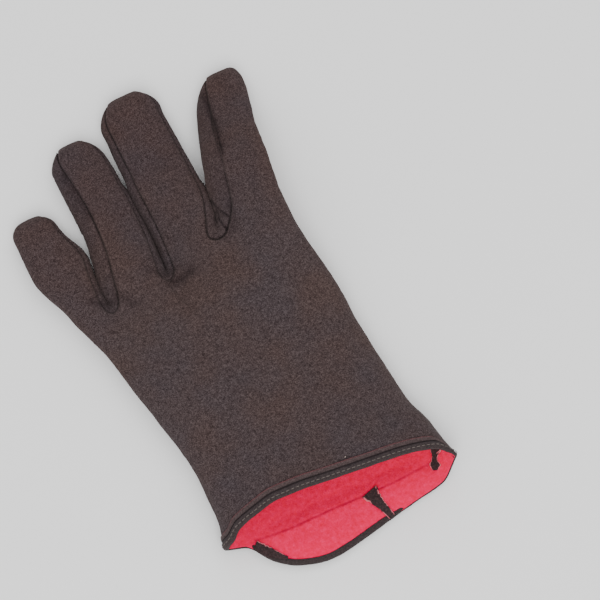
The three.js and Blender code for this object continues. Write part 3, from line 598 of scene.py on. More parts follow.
skin, GRIDS = join_patches()
face_lists = [quads(grid, flip) for grid, (_, _, flip) in zip(GRIDS, PATCHES)]
FACES = np.concatenate(face_lists)
PIECE_NAMES = list(dict.fromkeys(piece for piece, _, _ in PATCHES))
FACE_PIECE = np.concatenate([
    np.full(len(faces), PIECE_NAMES.index(piece)) for faces, (piece, _, _) in zip(face_lists, PATCHES)
])
FACE_PATCH = np.concatenate([np.full(len(faces), i) for i, faces in enumerate(face_lists)])
twice = (FACES == np.roll(FACES, 1, axis=1)).sum(axis=1) + (FACES[:, 0] == FACES[:, 2]) + (FACES[:, 1] == FACES[:, 3])
FACES, FACE_PIECE, FACE_PATCH = FACES[twice < 2], FACE_PIECE[twice < 2], FACE_PATCH[twice < 2]


def sides_of(faces):
    """Both ends of each side of the faces."""
    return np.concatenate([np.stack([faces[:, i], faces[:, (i + 1) % 4]], axis=1) for i in range(4)])


def edges_of(faces):
    """Each edge once, how many faces meet there, and the first and last of them."""
    ends = sides_of(faces)
    face = np.tile(np.arange(len(faces)), 4)
    real = ends[:, 0] != ends[:, 1]
    ends, face = np.sort(ends[real], axis=1), face[real]
    order = np.lexsort((ends[:, 1], ends[:, 0]))
    edges, first, counts = np.unique(ends[order], axis=0, return_index=True, return_counts=True)
    return edges, counts, face[order[first]], face[order[first + counts - 1]]


EDGES, EDGE_COUNTS, FACE_A, FACE_B = edges_of(FACES)
OPEN_EDGES = EDGES[EDGE_COUNTS == 1]
SEAM_EDGES = EDGES[(EDGE_COUNTS > 1) & (FACE_PIECE[FACE_A] != FACE_PIECE[FACE_B])]
on_open = np.zeros(len(skin), bool)
on_open[OPEN_EDGES.ravel()] = True


def spread_mean(values, ends):
    """The mean of each vertex's neighbours, and how many it has."""
    total = np.zeros_like(values)
    count = np.bincount(ends.ravel(), minlength=len(values)).astype(float)
    for k in range(values.shape[1]):
        total[:, k] += np.bincount(ends[:, 0], values[ends[:, 1], k], len(values))
        total[:, k] += np.bincount(ends[:, 1], values[ends[:, 0], k], len(values))
    return total / np.maximum(count, 1)[:, None], count


PUSH, PULL_BACK = 0.5, -0.51


def relaxed(points, rounds, free=None):
    """Smooths without shrinking, by a push and a slightly larger pull back. Open edges only slide along themselves."""
    points = points.copy()
    for amount in (PUSH, PULL_BACK) * rounds:
        mean, count = spread_mean(points, EDGES)
        mean_open, count_open = spread_mean(points, OPEN_EDGES)
        target = np.where(on_open[:, None], mean_open, mean)
        moved = (np.where(on_open, count_open, count) > 1) & (True if free is None else free)
        points[moved] += amount * (target - points)[moved]
    return points


def normals_of(points, faces):
    """The normal at each point, from the faces round it by their size."""
    a, b, c, d = (points[faces[:, i]] for i in range(4))
    face_normals = np.cross(c - a, d - b)
    normals = np.zeros_like(points)
    for i in range(4):
        for k in range(3):
            normals[:, k] += np.bincount(faces[:, i], face_normals[:, k], len(points))
    return normals / np.maximum(lengths(normals), 1e-9)[:, None]


def noise_at(points, wavelength, seed):
    """Smooth noise from -1 to 1 at each point."""
    shift = Vector((seed * 17.3, seed * -9.1, seed * 5.7))
    return np.array([noise.noise(Vector(p) / wavelength + shift) for p in points])


# The cloth is relaxed, its seams are rounded, and then it is relaxed between them and all over.
skin = relaxed(skin, 6)
for _ in range(16):
    mean, count = spread_mean(skin, SEAM_EDGES)
    inner = (count == 2) & ~on_open
    skin[inner] += 0.5 * (mean - skin)[inner]
skin = relaxed(skin, 8, free=~np.isin(np.arange(len(skin)), SEAM_EDGES))
skin = relaxed(skin, 3)
# The cloth fills out a little to both sides, most at the thumb's root and the cuff. Columns: across, sideways.
SPREAD = np.array([(-62, -2.1), (-40, -1.8), (-28, 0.0), (0, 1.0), (40, 0.9), (75, 1.5)])
x, y = skin[:, 0].copy(), skin[:, 1]
fade = np.where(x < 0, smooth(y, -75, 5) * (1 - (x < -34) * smooth(y, 76, 110)), smooth(y, -120, -90))
bulge = 1.3 * bell(y - 18, 20) + 2.6 * bell(y + 76, 12) + 1.2 * smooth(y, 108, 140)
skin[:, 0] += read(SPREAD, 1, x) * fade + bulge * smooth(x, 42, 74)
# The front of the cuff sags forwards in its middle.
sag = 1.7 * bell(skin[:, 0] - 10, 24) * (1 - smooth(skin[:, 2], 8, 16))
skin[:, 1] -= sag * (1 - smooth(skin[:, 1], -106, -90))
skin[:, 2] = np.maximum(skin[:, 2], 0)
base_normals = normals_of(skin, FACES)

# How dark each seam's painted shade is: more where it faces the little finger's side, less along the index finger and
# between the ring and middle fingers. Then how far each point is from the nearest seam, and that seam's point.
seam_ids = np.unique(SEAM_EDGES)
facing = np.zeros(len(skin))
facing[seam_ids] = base_normals[seam_ids, 0]
seam_shade_strength = 0.5 - 0.9 * facing + 0.4 * noise_at(skin, 14, 11)
x, y, z = skin.T
seam_shade_strength -= 0.5 * smooth(x, 30, 40) * smooth(y, 62, 74) * (1 - smooth(y, 136, 146))
seam_shade_strength -= 0.4 * smooth(y, 60, 70) * (1 - smooth(y, 112, 124)) * (np.abs(x + 2) < 12)
seam_shade_strength = np.clip(seam_shade_strength, 0.06, 1)
seam_tree = tree_of(skin, seam_ids)
found = [seam_tree.find(place) for place in skin]
seam_distance = np.array([f[2] for f in found])
seam_point = np.array([f[1] for f in found])

# Folds in the back's cloth: points in plan, how wide and how high, below 0 for a dent. Creases are narrow and get
# painted shade where the cloth faces up.
FOLDS = [
    ([(48, 66), (40, 58), (28, 52)], 9.0, -0.8),
    ([(28, -59), (48, -57), (68, -61)], 9.0, -1.1),
    ([(24, -44), (48, -41), (64, -44)], 10.0, 0.6),
    ([(14, -68), (24, -71), (32, -75)], 6.0, -0.5),
    ([(47, 38), (57, 31)], 8.0, 0.7),
    ([(-40, 40), (-34, 30), (-24, 26)], 8.0, -0.6),
]
CREASES = [
    ([(57, 139), (55.7, 129), (54, 116), (51, 104)], 1.9, -0.55),
    ([(-29.6, 132), (-29.2, 124), (-28, 112), (-27.6, 104)], 1.7, -0.4),
    ([(40.5, 73), (38, 63), (31, 57.5)], 2.2, -0.3),
    ([(-4, 52), (1, 51), (7, 52)], 2.4, -0.55),
    ([(-12, 63), (-4, 57), (0, 58)], 2.0, -0.35),
    ([(-46, 62), (-41, 57), (-36, 56)], 2.2, -0.4),
    ([(-33, 60), (-29, 52), (-25, 49)], 2.0, -0.3),
]
WIDEST_CREASE = 3


def distance_to_line(points, line):
    """How far each point is, in plan, from a line through places."""
    line = np.array(line, float)
    nearest = np.full(len(points), 1e9)
    for a, b in zip(line[:-1], line[1:]):
        t = within(((points[:, :2] - a) @ (b - a)) / ((b - a) @ (b - a)))
        nearest = np.minimum(nearest, lengths(points[:, :2] - a - t[:, None] * (b - a)))
    return nearest


fold_height = np.zeros(len(skin))
crease_shade = np.zeros(len(skin))
for line, width, rise in FOLDS + CREASES:
    reach = bell(distance_to_line(skin, line), width)
    fold_height += rise * reach
    # Narrow creases also get painted shade, on cloth that faces up.
    if width < WIDEST_CREASE:
        crease_shade = np.maximum(crease_shade, -rise * 1.5 * reach * (base_normals[:, 2] > 0.3))

# How far the outer side of the cloth stands off the skin: waves all over, a groove with raised sides at each seam,
# puckers along it, and the folds. The strips between the fingers stay almost still.
upper = smooth(base_normals[:, 2], 0.0, 0.5)
above_floor = smooth(z, 0.3, 3.0)
wave = 0.7 * noise_at(skin, 27, 1) + 0.22 * noise_at(skin, 11, 2) + 0.05 * noise_at(skin, 4.5, 3)
pucker = noise_at(skin[seam_point], 3.2, 4) + 0.6 * noise_at(skin[seam_point], 7.5, 5)
groove = -0.8 * bell(seam_distance, 0.8) + 0.3 * bell(seam_distance - 2.2, 1.4)
swell = 0.16 * pucker * bell(seam_distance, 3.6)
offset = above_floor * (wave + groove + swell) + upper * fold_height
gusset_faces = np.isin(FACE_PIECE, [PIECE_NAMES.index(piece) for piece in GUSSETS])
in_gusset = np.zeros(len(skin), bool)
in_gusset[FACES[gusset_faces].ravel()] = True
in_gusset[seam_ids] = False
offset[in_gusset] = np.minimum(0, offset[in_gusset] * 0.2) - 0.02
shell = skin + base_normals * offset[:, None]
shell[:, 2] = np.maximum(shell[:, 2], 0.0)
shell_normals = normals_of(shell, FACES)


# Meshes
def show(name, data):
    """An object of the scene, with a mesh, a light or a camera as its data."""
    made = bpy.data.objects.new(name, data)
    bpy.context.scene.collection.objects.link(made)
    return made


def make_object(name, points, faces):
    """An object from points in millimetres. A face with a repeated corner loses it, or goes if fewer than 3 stay."""
    mesh = bpy.data.meshes.new(name)
    corners = (list(dict.fromkeys(int(i) for i in face)) for face in faces)
    mesh.from_pydata((np.asarray(points) * MM).tolist(), [], [face for face in corners if len(face) > 2])
    mesh.validate()
    mesh.update()
    mesh.shade_smooth()
    return show(name, mesh)


def add_attribute(made, name, values):
    made.data.attributes.new(name, "FLOAT", "POINT").data.foreach_set("value", np.asarray(values, np.float32))


# What stays of a sheet's thickness where it lies on the floor.
LEAST_THICK = 0.3


def sheet_mesh(name, points, normals, faces, outside, inside):
    """A closed sheet between two depths under a skin, each one number or one a point, and the points that it uses."""
    used, numbers = np.unique(faces, return_inverse=True)
    faces = numbers.reshape(faces.shape)
    outside = np.broadcast_to(outside, len(points))[used][:, None]
    inside = np.broadcast_to(inside, len(points))[used][:, None]
    outer = points[used] - normals[used] * outside
    inner = points[used] - normals[used] * inside
    inner[:, 2] = np.maximum(inner[:, 2], LEAST_THICK)
    outer[:, 2] = np.maximum(outer[:, 2], 0.0)
    count = len(used)
    ends = sides_of(faces)
    ends = ends[ends[:, 0] != ends[:, 1]]
    known = set(map(tuple, ends.tolist()))
    walls = [(b, a, a + count, b + count) for a, b in known if (b, a) not in known]
    every = faces.tolist() + (faces[:, ::-1] + count).tolist() + walls
    return make_object(name, np.concatenate([outer, inner]), every), used


def piece_faces(piece):
    return FACES[FACE_PIECE == PIECE_NAMES.index(piece)]


# Materials
class Material:
    """A node material: each call adds one node and returns the socket that it gives."""

    def __init__(self, name):
        self.made = bpy.data.materials.new(name)
        self.made.use_nodes = True
        self.tree = self.made.node_tree
        self.tree.nodes.clear()
        self.place = self.node("ShaderNodeTexCoord").outputs["Object"]

    def node(self, kind, inputs=(), **settings):
        """A node with its settings, and each input as a number, a colour or another node's socket."""
        node = self.tree.nodes.new(kind)
        for key, value in settings.items():
            setattr(node, key, value)
        for key, value in dict(inputs).items():
            if isinstance(value, bpy.types.NodeSocket):
                self.tree.links.new(value, node.inputs[key])
            else:
                node.inputs[key].default_value = value
        return node

    def noise(self, size, detail=2.0, rough=0.5, stretch=None):
        """Noise with features of a size in metres."""
        place = self.place
        if stretch:
            place = self.node("ShaderNodeMapping", {"Vector": place, "Scale": stretch}).outputs["Vector"]
        inputs = {"Vector": place, "Scale": 1 / size, "Detail": detail, "Roughness": rough}
        return self.node("ShaderNodeTexNoise", inputs).outputs["Fac"]

    def ramp(self, value, *stops):
        """Colours or shades between stops, each a position and a colour or a number."""
        node = self.node("ShaderNodeValToRGB", {"Fac": value})
        elements = node.color_ramp.elements
        while len(elements) < len(stops):
            elements.new(0.5)
        for element, (position, colour) in zip(elements, stops):
            element.position = position
            element.color = (*colour, 1) if isinstance(colour, tuple) else (colour, colour, colour, 1)
        return node.outputs["Color"]

    def mix(self, share, a, b, blend="MIX"):
        a, b = ((*value, 1) if isinstance(value, tuple) else value for value in (a, b))
        node = self.node("ShaderNodeMix", {"Factor": share, 6: a, 7: b}, data_type="RGBA", blend_type=blend)
        return node.outputs[2]

    def tinted(self, colour, by):
        return self.mix(1.0, colour, by, "MULTIPLY")

    def math(self, operation, a, b=0.0, clamp=False):
        return self.node("ShaderNodeMath", {0: a, 1: b}, operation=operation, use_clamp=clamp).outputs[0]

    def times(self, a, b):
        return self.math("MULTIPLY", a, b)

    def plus(self, a, b):
        return self.math("ADD", a, b)

    def attribute(self, name):
        return self.node("ShaderNodeAttribute", attribute_name=name).outputs["Fac"]

    def vector(self, operation, a, b=(0, 0, 0)):
        second = "Scale" if operation == "SCALE" else 1
        node = self.node("ShaderNodeVectorMath", {0: a, second: b}, operation=operation)
        return node.outputs["Value" if operation in ("DOT_PRODUCT", "LENGTH") else "Vector"]

    def line(self, points, width):
        """How near a place is, in plan, to a line through points in mm: 1 on the line, 0 from the width on."""
        place = self.vector("MULTIPLY", self.place, (1 / MM, 1 / MM, 0))
        nearest = None
        for (ax, ay), (bx, by) in zip(points, points[1:]):
            run = (bx - ax, by - ay, 0)
            start = self.vector("SUBTRACT", place, (ax, ay, 0))
            along = self.vector("DOT_PRODUCT", start, run)
            share = self.math("DIVIDE", along, run[0] ** 2 + run[1] ** 2, clamp=True)
            off = self.vector("LENGTH", self.vector("SUBTRACT", start, self.vector("SCALE", run, share)))
            nearest = self.math("MINIMUM", nearest, off) if nearest else off
        return self.math("SUBTRACT", 1, self.math("DIVIDE", nearest, width), clamp=True)

    def bump(self, height, distance, strength):
        inputs = {"Distance": distance, "Strength": strength, "Height": height}
        return self.node("ShaderNodeBump", inputs).outputs["Normal"]

    def finish(self, colour, normal, roughness, sheen=0.0, sheen_tint=(1, 1, 1), specular=0.2):
        shader = self.node("ShaderNodeBsdfPrincipled", {
            "Base Color": colour, "Roughness": roughness, "Normal": normal, "Specular IOR Level": specular,
            "Sheen Weight": sheen, "Sheen Roughness": 0.6, "Sheen Tint": (*sheen_tint, 1),
        })
        self.node("ShaderNodeOutputMaterial", {"Surface": shader.outputs["BSDF"]})
        return self.made


# The width of a wale in metres, and how many bands a wave texture of scale 1 has to the metre.
WALE, BANDS = 0.0011, 3.2


def jersey_material(name, lightness=1.0, warmth=0.0, creases=()):
    """Brown heather jersey: mottled at the size of its stitches, with fine wales along the hand."""
    m = Material(name)
    fine = m.noise(0.00062, rough=0.6)
    medium = m.noise(0.0016)
    fibre = m.noise(0.0005, rough=0.6, stretch=(1, 0.45, 1))
    patches = m.noise(0.03)

    def tone(r, g, b):
        return r * lightness * (1 + warmth), g * lightness, b * lightness * (1 - warmth)

    speckle = m.ramp(
        m.plus(m.times(fine, 0.72), m.times(medium, 0.28)),
        (0.34, tone(0.019, 0.012, 0.0125)),
        (0.5, tone(0.0475, 0.0328, 0.0326)),
        (0.66, tone(0.089, 0.066, 0.0645)),
    )
    colour = m.tinted(speckle, m.ramp(patches, (0.32, (0.93, 0.99, 1.07)), (0.68, (1.07, 1.0, 0.95))))
    light = m.ramp(fibre, (0.68, 0.0), (0.82, 0.4))
    colour = m.mix(light, colour, tone(0.15, 0.12, 0.115))
    # Painted shade in each seam's groove and a faint painted highlight beside it, scaled by the seam's painted shade.
    seam = m.ramp(m.attribute("seam"), (0.0, 0.4), (0.09, 0.55), (0.17, 0.98), (0.32, 1.12), (0.6, 1.0))
    colour = m.mix(m.attribute("seam_shade"), colour, m.tinted(colour, seam))
    # Painted shade in the narrow creases.
    colour = m.mix(m.attribute("fold"), colour, m.tinted(colour, (0.45, 0.42, 0.44)))
    # Painted shade along the sharp creases, broken up by noise; the same lines dent the bump.
    crease_shade_and_dent = 0.0
    for points, width, depth in creases:
        crease_shade_and_dent = m.math("MAXIMUM", m.times(m.line(points, width), depth), crease_shade_and_dent)
    if creases:
        crease_shade_and_dent = m.times(crease_shade_and_dent, m.ramp(m.noise(0.004), (0.3, 0.55), (0.55, 1.0)))
        colour = m.mix(crease_shade_and_dent, colour, m.tinted(colour, (0.3, 0.27, 0.3)))
    y = m.node("ShaderNodeSeparateXYZ", {0: m.place}).outputs["Y"]
    # The cloth is a little bluer at the cuff, and redder and darker at the fingertips.
    colour = m.tinted(colour, m.ramp(
        m.plus(m.times(y, 4.0), 0.4),
        (0.02, (0.92, 0.95, 1.0)),
        (0.3, 1.0),
        (0.55, (1.0, 0.99, 0.98)),
        (0.9, (0.93, 0.87, 0.87)),
    ))
    wales = m.node(
        "ShaderNodeTexWave",
        {"Vector": m.place, "Scale": 1 / WALE / BANDS, "Distortion": 1.2, "Detail": 1.0},
        wave_type="BANDS", bands_direction="X",
    )
    height = m.plus(m.plus(m.times(wales.outputs["Fac"], 0.35), fine), m.times(fibre, 0.4))
    if creases:
        height = m.math("SUBTRACT", height, m.times(crease_shade_and_dent, 2.5))
    roughness = m.ramp(patches, (0.2, 0.9), (0.8, 0.98))
    normal = m.bump(height, 0.0002, 0.6)
    return m.finish(colour, normal, roughness, sheen=0.04, sheen_tint=(0.9, 0.75, 0.7), specular=0.1)


def fleece_material(name):
    """Red fleece: a soft raised pile with paler tips."""
    m = Material(name)
    tufts = m.noise(0.0022, detail=4.0, rough=0.7)
    fine = m.noise(0.0007, detail=3.0, rough=0.7)
    patches = m.noise(0.016)
    colour = m.ramp(tufts, (0.3, (0.72, 0.0, 0.045)), (0.52, (0.83, 0.001, 0.075)), (0.72, (0.93, 0.012, 0.115)))
    tips = m.ramp(fine, (0.6, 0.0), (0.8, 0.22))
    colour = m.mix(tips, colour, (0.98, 0.07, 0.18))
    colour = m.tinted(colour, m.ramp(patches, (0.3, 0.95), (0.7, 1.0)))
    # Painted shade along the crest's crease, broken up by noise; the same line dents the bump.
    crest_shade_and_dent = m.times(m.line(CREST_SHADE_LINE, 1.1), m.ramp(m.noise(0.007), (0.3, 0.35), (0.6, 0.85)))
    colour = m.mix(crest_shade_and_dent, colour, m.tinted(colour, (0.5, 0.4, 0.42)))
    height = m.math("SUBTRACT", m.plus(tufts, m.times(fine, 0.5)), crest_shade_and_dent)
    roughness = m.ramp(patches, (0.2, 0.94), (0.8, 1.0))
    normal = m.bump(height, 0.0005, 0.6)
    return m.finish(colour, normal, roughness, sheen=0.03, sheen_tint=(1.0, 0.3, 0.35), specular=0.03)


# Where the tape's colours end, in mm from the cuff's edge.
BAND_END = 8.0


def tape_material(name):
    """The tape round the cuff: a raw reddish edge, a sewn groove painted darker as shade, and a band, from the distance
    to the cuff's edge.
    """
    m = Material(name)
    band = m.math("DIVIDE", m.attribute("band"), BAND_END)
    fine = m.noise(0.0007, detail=3.0, rough=0.65)
    fibre = m.noise(0.0005, rough=0.6)
    colour = m.ramp(
        band,
        (0.0, (0.036, 0.026, 0.026)),
        (0.25, (0.036, 0.027, 0.028)),
        # Painted shade: the darker stops in the sewn groove.
        (0.36, (0.03, 0.021, 0.022)),
        (0.41, (0.014, 0.009, 0.01)),
        (0.46, (0.016, 0.011, 0.012)),
        (0.51, (0.05, 0.035, 0.035)),
        (0.7, (0.062, 0.041, 0.041)),
        (0.76, (0.085, 0.038, 0.04)),
        (0.8, (0.12, 0.035, 0.042)),
    )
    speckle = m.ramp(fine, (0.3, 0.5), (0.5, 1.0), (0.7, 1.6))
    colour = m.mix(m.ramp(fibre, (0.66, 0.0), (0.8, 0.35)), m.tinted(colour, speckle), (0.15, 0.115, 0.11))
    normal = m.bump(m.plus(fine, m.times(fibre, 0.5)), 0.0002, 0.6)
    return m.finish(colour, normal, m.ramp(fine, (0.2, 0.86), (0.8, 0.96)), sheen=0.03, specular=0.12)


def spare_material(name):
    """A seam's spare cloth: brown, with a pale pink fringe of fleece along its cut edges."""
    m = Material(name)
    fine = m.noise(0.0009, detail=3.0, rough=0.65)
    wander = m.plus(m.attribute("edge"), m.times(m.math("SUBTRACT", fine, 0.5), 0.35))
    brown = m.ramp(fine, (0.3, (0.016, 0.009, 0.01)), (0.55, (0.038, 0.023, 0.024)), (0.75, (0.07, 0.042, 0.042)))
    patchy = m.ramp(m.noise(0.004), (0.4, 0.0), (0.52, 0.9))
    colour = m.mix(m.times(m.ramp(wander, (0.8, 0.0), (0.94, 1.0)), patchy), brown, (0.75, 0.2, 0.24))
    roughness = m.ramp(fine, (0.2, 0.88), (0.8, 0.98))
    return m.finish(colour, m.bump(fine, 0.0004, 0.8), roughness, sheen=0.05, specular=0.12)


def thread_material(name, lightness=1.0):
    """Grey-brown thread, or something lighter."""
    m = Material(name)
    twist = m.noise(0.0004, rough=0.6)
    dark, light = (tuple(lightness * c for c in colour) for colour in ((0.05, 0.04, 0.036), (0.13, 0.105, 0.095)))
    colour = m.ramp(twist, (0.3, dark), (0.6, light))
    return m.finish(colour, m.bump(twist, 0.0001, 0.6), m.ramp(twist, (0.2, 0.7), (0.8, 0.85)), specular=0.3)


def dress(made, material, node):
    """Gives a piece its material and its body, and hides the imported part of the node that it stands for, if any."""
    made.data.materials.append(material)
    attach(made, "root")
    if node:
        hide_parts(node)


def area_of(points, faces):
    """The area of faces in square metres."""
    a, b, c, d = (points[faces[:, i]] for i in range(4))
    return 0.5 * lengths(np.cross(c - a, d - b)).sum() * MM * MM


# The sharpest creases, painted into the material as lines of shade and a slight dent: points in plan, how wide and
# how dark. The last three are in the crotch between the middle and index fingers.
SHARP_CREASES = [
    ([(57.2, 140), (55.7, 131), (53.9, 118), (51.2, 107), (49.4, 99)], 1.2, 1.0),
    ([(33.1, 81), (33.8, 74.8), (35.1, 71.6), (37, 66.8)], 1.0, 1.0),
    ([(33.8, 74.8), (32.2, 69.3), (32.3, 65), (33, 61.6)], 1.0, 1.0),
    ([(32.8, 74.0), (30.6, 70.8), (29.4, 66)], 1.2, 0.6),
]
jersey = jersey_material("brown_jersey")
# The back's jersey gets painted crease shade; the strips between the fingers are a copy painted 8% darker and a little
# cooler as shade, with the crotch's painted crease shade.
shaded_jersey = {
    "back_panel": jersey_material("back_jersey", creases=SHARP_CREASES),
    **{node: jersey_material(node + "_jersey", 0.92, -0.03, SHARP_CREASES[-3:]) for node in GUSSETS},
}
# The shell's pieces: node and name.
SHELL_CUTS = [
    ("back_panel", "back_cloth"),
    ("palm_panel", "palm_cloth"),
    ("middle_fingers_front", "middle_fingers_front_cloth"),
    ("thumb_front", "thumb_front_cloth"),
    ("thumb_back", "thumb_back_cloth"),
    ("fourchette_little_ring", "little_ring_gusset"),
    ("fourchette_ring_middle", "ring_middle_gusset"),
    ("fourchette_middle_index", "middle_index_gusset"),
]
SEAM_REACH = 4
# A cut is larger than the piece that it makes as laid, because the piece curves.
CUT_WIDER, CUT_LONGER = 1.15, 1.1
for node, name in SHELL_CUTS:
    faces = piece_faces(node)
    made, used = sheet_mesh(name, shell, shell_normals, faces, 0.0, SHELL)
    add_attribute(made, "seam", np.tile(np.minimum(seam_distance[used] / SEAM_REACH, 1), 2))
    add_attribute(made, "seam_shade", np.tile(seam_shade_strength[seam_point[used]], 2))
    add_attribute(made, "fold", np.tile(crease_shade[used], 2))
    dress(made, shaded_jersey.get(node, jersey), node)
    area = area_of(shell, faces)
    size = np.ptp(shell[used], axis=0) * MM
    wide, long_ = size[0] * CUT_WIDER, size[1] * CUT_LONGER

# The fleece lining, up to the knuckles. It is thinner at the rim, where the tape folds over it.
LINING_END = 44
lining_patches = [BACK_HAND, PALM_BEYOND, PALM_LEFT, THUMB_HEEL]
lining_faces = FACES[np.isin(FACE_PATCH, lining_patches) & (skin[FACES[:, 0], 1] < LINING_END)]
rim_tree = tree_of(skin, np.unique(OPEN_EDGES))
rim_distance = np.array([rim_tree.find(place)[2] for place in skin])
lining_top = lerp(RIM_DEPTH, LINING_DEPTH, smooth(rim_distance, 0, 9))
tufts = 0.16 * noise_at(skin, 1.6, 6) + 0.25 * noise_at(skin, 6.0, 7)
lining, used = sheet_mesh(
    "fleece_lining", skin, base_normals, lining_faces, lining_top,
    lining_top + (LINING + tufts) * lerp(0.45, 1, smooth(rim_distance, 0, 5)),
)
dress(lining, fleece_material("red_fleece"), "hand_lining")
lining_area = area_of(skin, lining_faces)


# The tape round the cuff's edge, on the first rows of the skin in from there.
RIM_ROWS = 12


def rim_lines():
    """For each place round the rim, the skin's points from the rim inwards."""
    back, left, heel = (GRIDS[which][::-1][:RIM_ROWS] for which in (BACK_HAND, PALM_LEFT, THUMB_HEEL))
    lines = [back[:, i] for i in range(back.shape[1])]
    lines += [heel[:, i] for i in range(heel.shape[1] - 2, 0, -1)]
    lines += [left[:, i] for i in range(left.shape[1] - 1, 0, -1)]
    return np.array(lines)


def at_distance(line, distance):
    """A point on the skin at a distance in from the rim, and its normal."""
    places, normals = skin[line], base_normals[line]
    steps = lengths(np.diff(places, axis=0))
    if distance < 0:
        return places[0] - unit(places[0] - places[2]) * distance, normals[0]
    reach = sum_up(steps)
    k = min(int(np.searchsorted(reach, distance, side="right")) - 1, len(steps) - 1)
    t = (distance - reach[k]) / steps[k]
    return lerp(places[k], places[k + 1], t), lerp(normals[k], normals[k + 1], t)


# The tape's section: distance in from the rim, height above the skin, and the band that it is coloured by.
TAPE_TURN = 3.2
INNER = RIM_DEPTH + LINING
TAPE = [
    (6.5, 0.1, 6.5), (6.45, 0.7, 6.45), (6.1, 0.9, 6.1), (5.2, 0.95, 5.2), (4.4, 0.9, 4.4), (3.9, 0.75, 3.9),
    (3.45, 0.3, 3.45), (3.0, 0.7, 3.0), (2.5, 0.98, 2.5), (1.9, 1.02, 1.9), (1.3, 0.95, 1.4), (0.6, 0.85, 0.8),
    (0.0, 0.6, 0.5), (-0.45, 0.15, 0.4), (-0.65, -0.4, 0.4), (-0.7, -1.1, 0.4), (-0.6, -1.8, 0.5), (-0.35, -2.4, 0.6),
    (0.1, -INNER - 0.7, 0.8), (0.8, -INNER - 0.8, 1.2), (1.7, -INNER - 0.8, 1.6), (2.6, -INNER - 0.75, 1.9),
    (3.1, -INNER - 0.55, 2.2), (TAPE_TURN, -INNER - 0.3, 2.4), (2.9, -INNER - 0.05, 2.4),
    (1.5, -INNER, 2.4), (0.1, -INNER + 0.1, 2.4), (0.1, 0.1, 2.4), (TAPE_TURN, 0.15, 2.4),
]
# How much of the tape is turned in over the lining: from the little side across the back, then across the palm.
BACK_TURN = np.array([(0.0, 1.0), (0.88, 1.0), (0.97, 0.6), (1.0, 0.5)])
PALM_TURN = np.array([
    (0.0, 0.8), (0.02, 0.0), (0.085, 0.0), (0.12, 1.0), (0.3, 0.9), (0.6, 0.85), (0.7, 0.6), (0.78, 0.2), (1.0, 0.2),
])
LINES = rim_lines()
ring = []
back_lines = GRIDS[BACK_HAND].shape[1]
rim_left, rim_right = skin[LINES[:, 0], 0].min(), skin[LINES[:, 0], 0].max()
for i, line in enumerate(LINES):
    across = (skin[line[0], 0] - rim_left) / (rim_right - rim_left)
    turned = read(BACK_TURN if i < back_lines else PALM_TURN, 1, across)
    narrow = 1 - 0.5 * smooth(across, 0.94, 1)  # towards the thumb's side
    for distance, height, _ in TAPE:
        distance *= narrow
        if height > 0:
            height *= narrow
        if height < -0.5:
            distance, height = lerp(0.3, distance, turned), lerp(-0.3, height, turned)
        place, normal = at_distance(line, distance)
        ring.append(place + normal * height)
ring = np.array(ring)
count = len(TAPE)
turns = len(LINES)
index = np.arange(turns * count).reshape(turns, count)
after = np.roll(index, -1, axis=0)
tape_faces = np.stack([index, np.roll(index, -1, axis=1), np.roll(after, -1, axis=1), after], axis=-1).reshape(-1, 4)
ring_normals = normals_of(ring, tape_faces)
ring += ring_normals * (0.16 * noise_at(ring, 5.0, 8) + 0.08 * noise_at(ring, 1.8, 9))[:, None]
ring[:, 2] = np.maximum(ring[:, 2], 0.0)
tape = make_object("cuff_tape", ring, tape_faces)
add_attribute(tape, "band", np.tile([band for _, _, band in TAPE], turns))
dress(tape, tape_material("cuff_tape_cloth"), "cuff_binding")


# Stitches along the tape. A stitch's rings: along, how wide.
STITCH = 2.7
STITCH_INSET, STITCH_HEIGHT, STITCH_RADIUS = 1.0, 0.95, 0.24
RINGS = [(-0.5, 0.35), (-0.4, 0.85), (-0.15, 1.0), (0.15, 1.0), (0.4, 0.85), (0.5, 0.35)]
SIDES = 8


def add_stitch(points, faces, centre, along, out, length, radius):
    """Adds a bowed thread to lists of points and faces. It runs along and bows out."""
    side = np.cross(along, out)
    first = len(points)
    for share, wide in RINGS:
        bow = out * (0.35 * radius * (1 - (2 * share) ** 2))
        for k in range(SIDES):
            angle = math.tau * k / SIDES
            turned = side * math.cos(angle) * 1.1 + out * math.sin(angle) * 0.8
            points.append(centre + along * share * length + bow + radius * wide * turned)
    last = len(points) - SIDES
    for start in range(first, last, SIDES):
        for k in range(SIDES):
            a, b = start + k, start + (k + 1) % SIDES
            faces.append((a, b, b + SIDES, a + SIDES))
    faces.append(tuple(range(first + SIDES - 1, first - 1, -1)))
    faces.append(tuple(range(last, last + SIDES)))


seam_line, seam_out = (np.array(values) for values in zip(*[at_distance(line, STITCH_INSET) for line in LINES]))
seam_line = seam_line + seam_out * STITCH_HEIGHT
steps = lengths(np.roll(seam_line, -1, axis=0) - seam_line)
reach = sum_up(steps)
points, faces = [], []
for k in range(int(reach[-1] / STITCH)):
    middle = (k + 0.5) * STITCH
    i = int(np.searchsorted(reach, middle, side="right")) - 1
    j = (i + 1) % turns
    t = (middle - reach[i]) / steps[i]
    along = unit(seam_line[j] - seam_line[i])
    out = lerp(seam_out[i], seam_out[j], t)
    out = unit(out - along * (out @ along))
    add_stitch(points, faces, lerp(seam_line[i], seam_line[j], t), along, out, STITCH * 0.7, STITCH_RADIUS)
points = np.array(points)
points[:, 2] = np.maximum(points[:, 2], 0.0)
stitches = make_object("cuff_stitches", points, faces)
dress(stitches, thread_material("cuff_thread"), None)
rim = skin[LINES[:, 0]]
rim_length = lengths(rim - np.roll(rim, -1, axis=0)).sum()

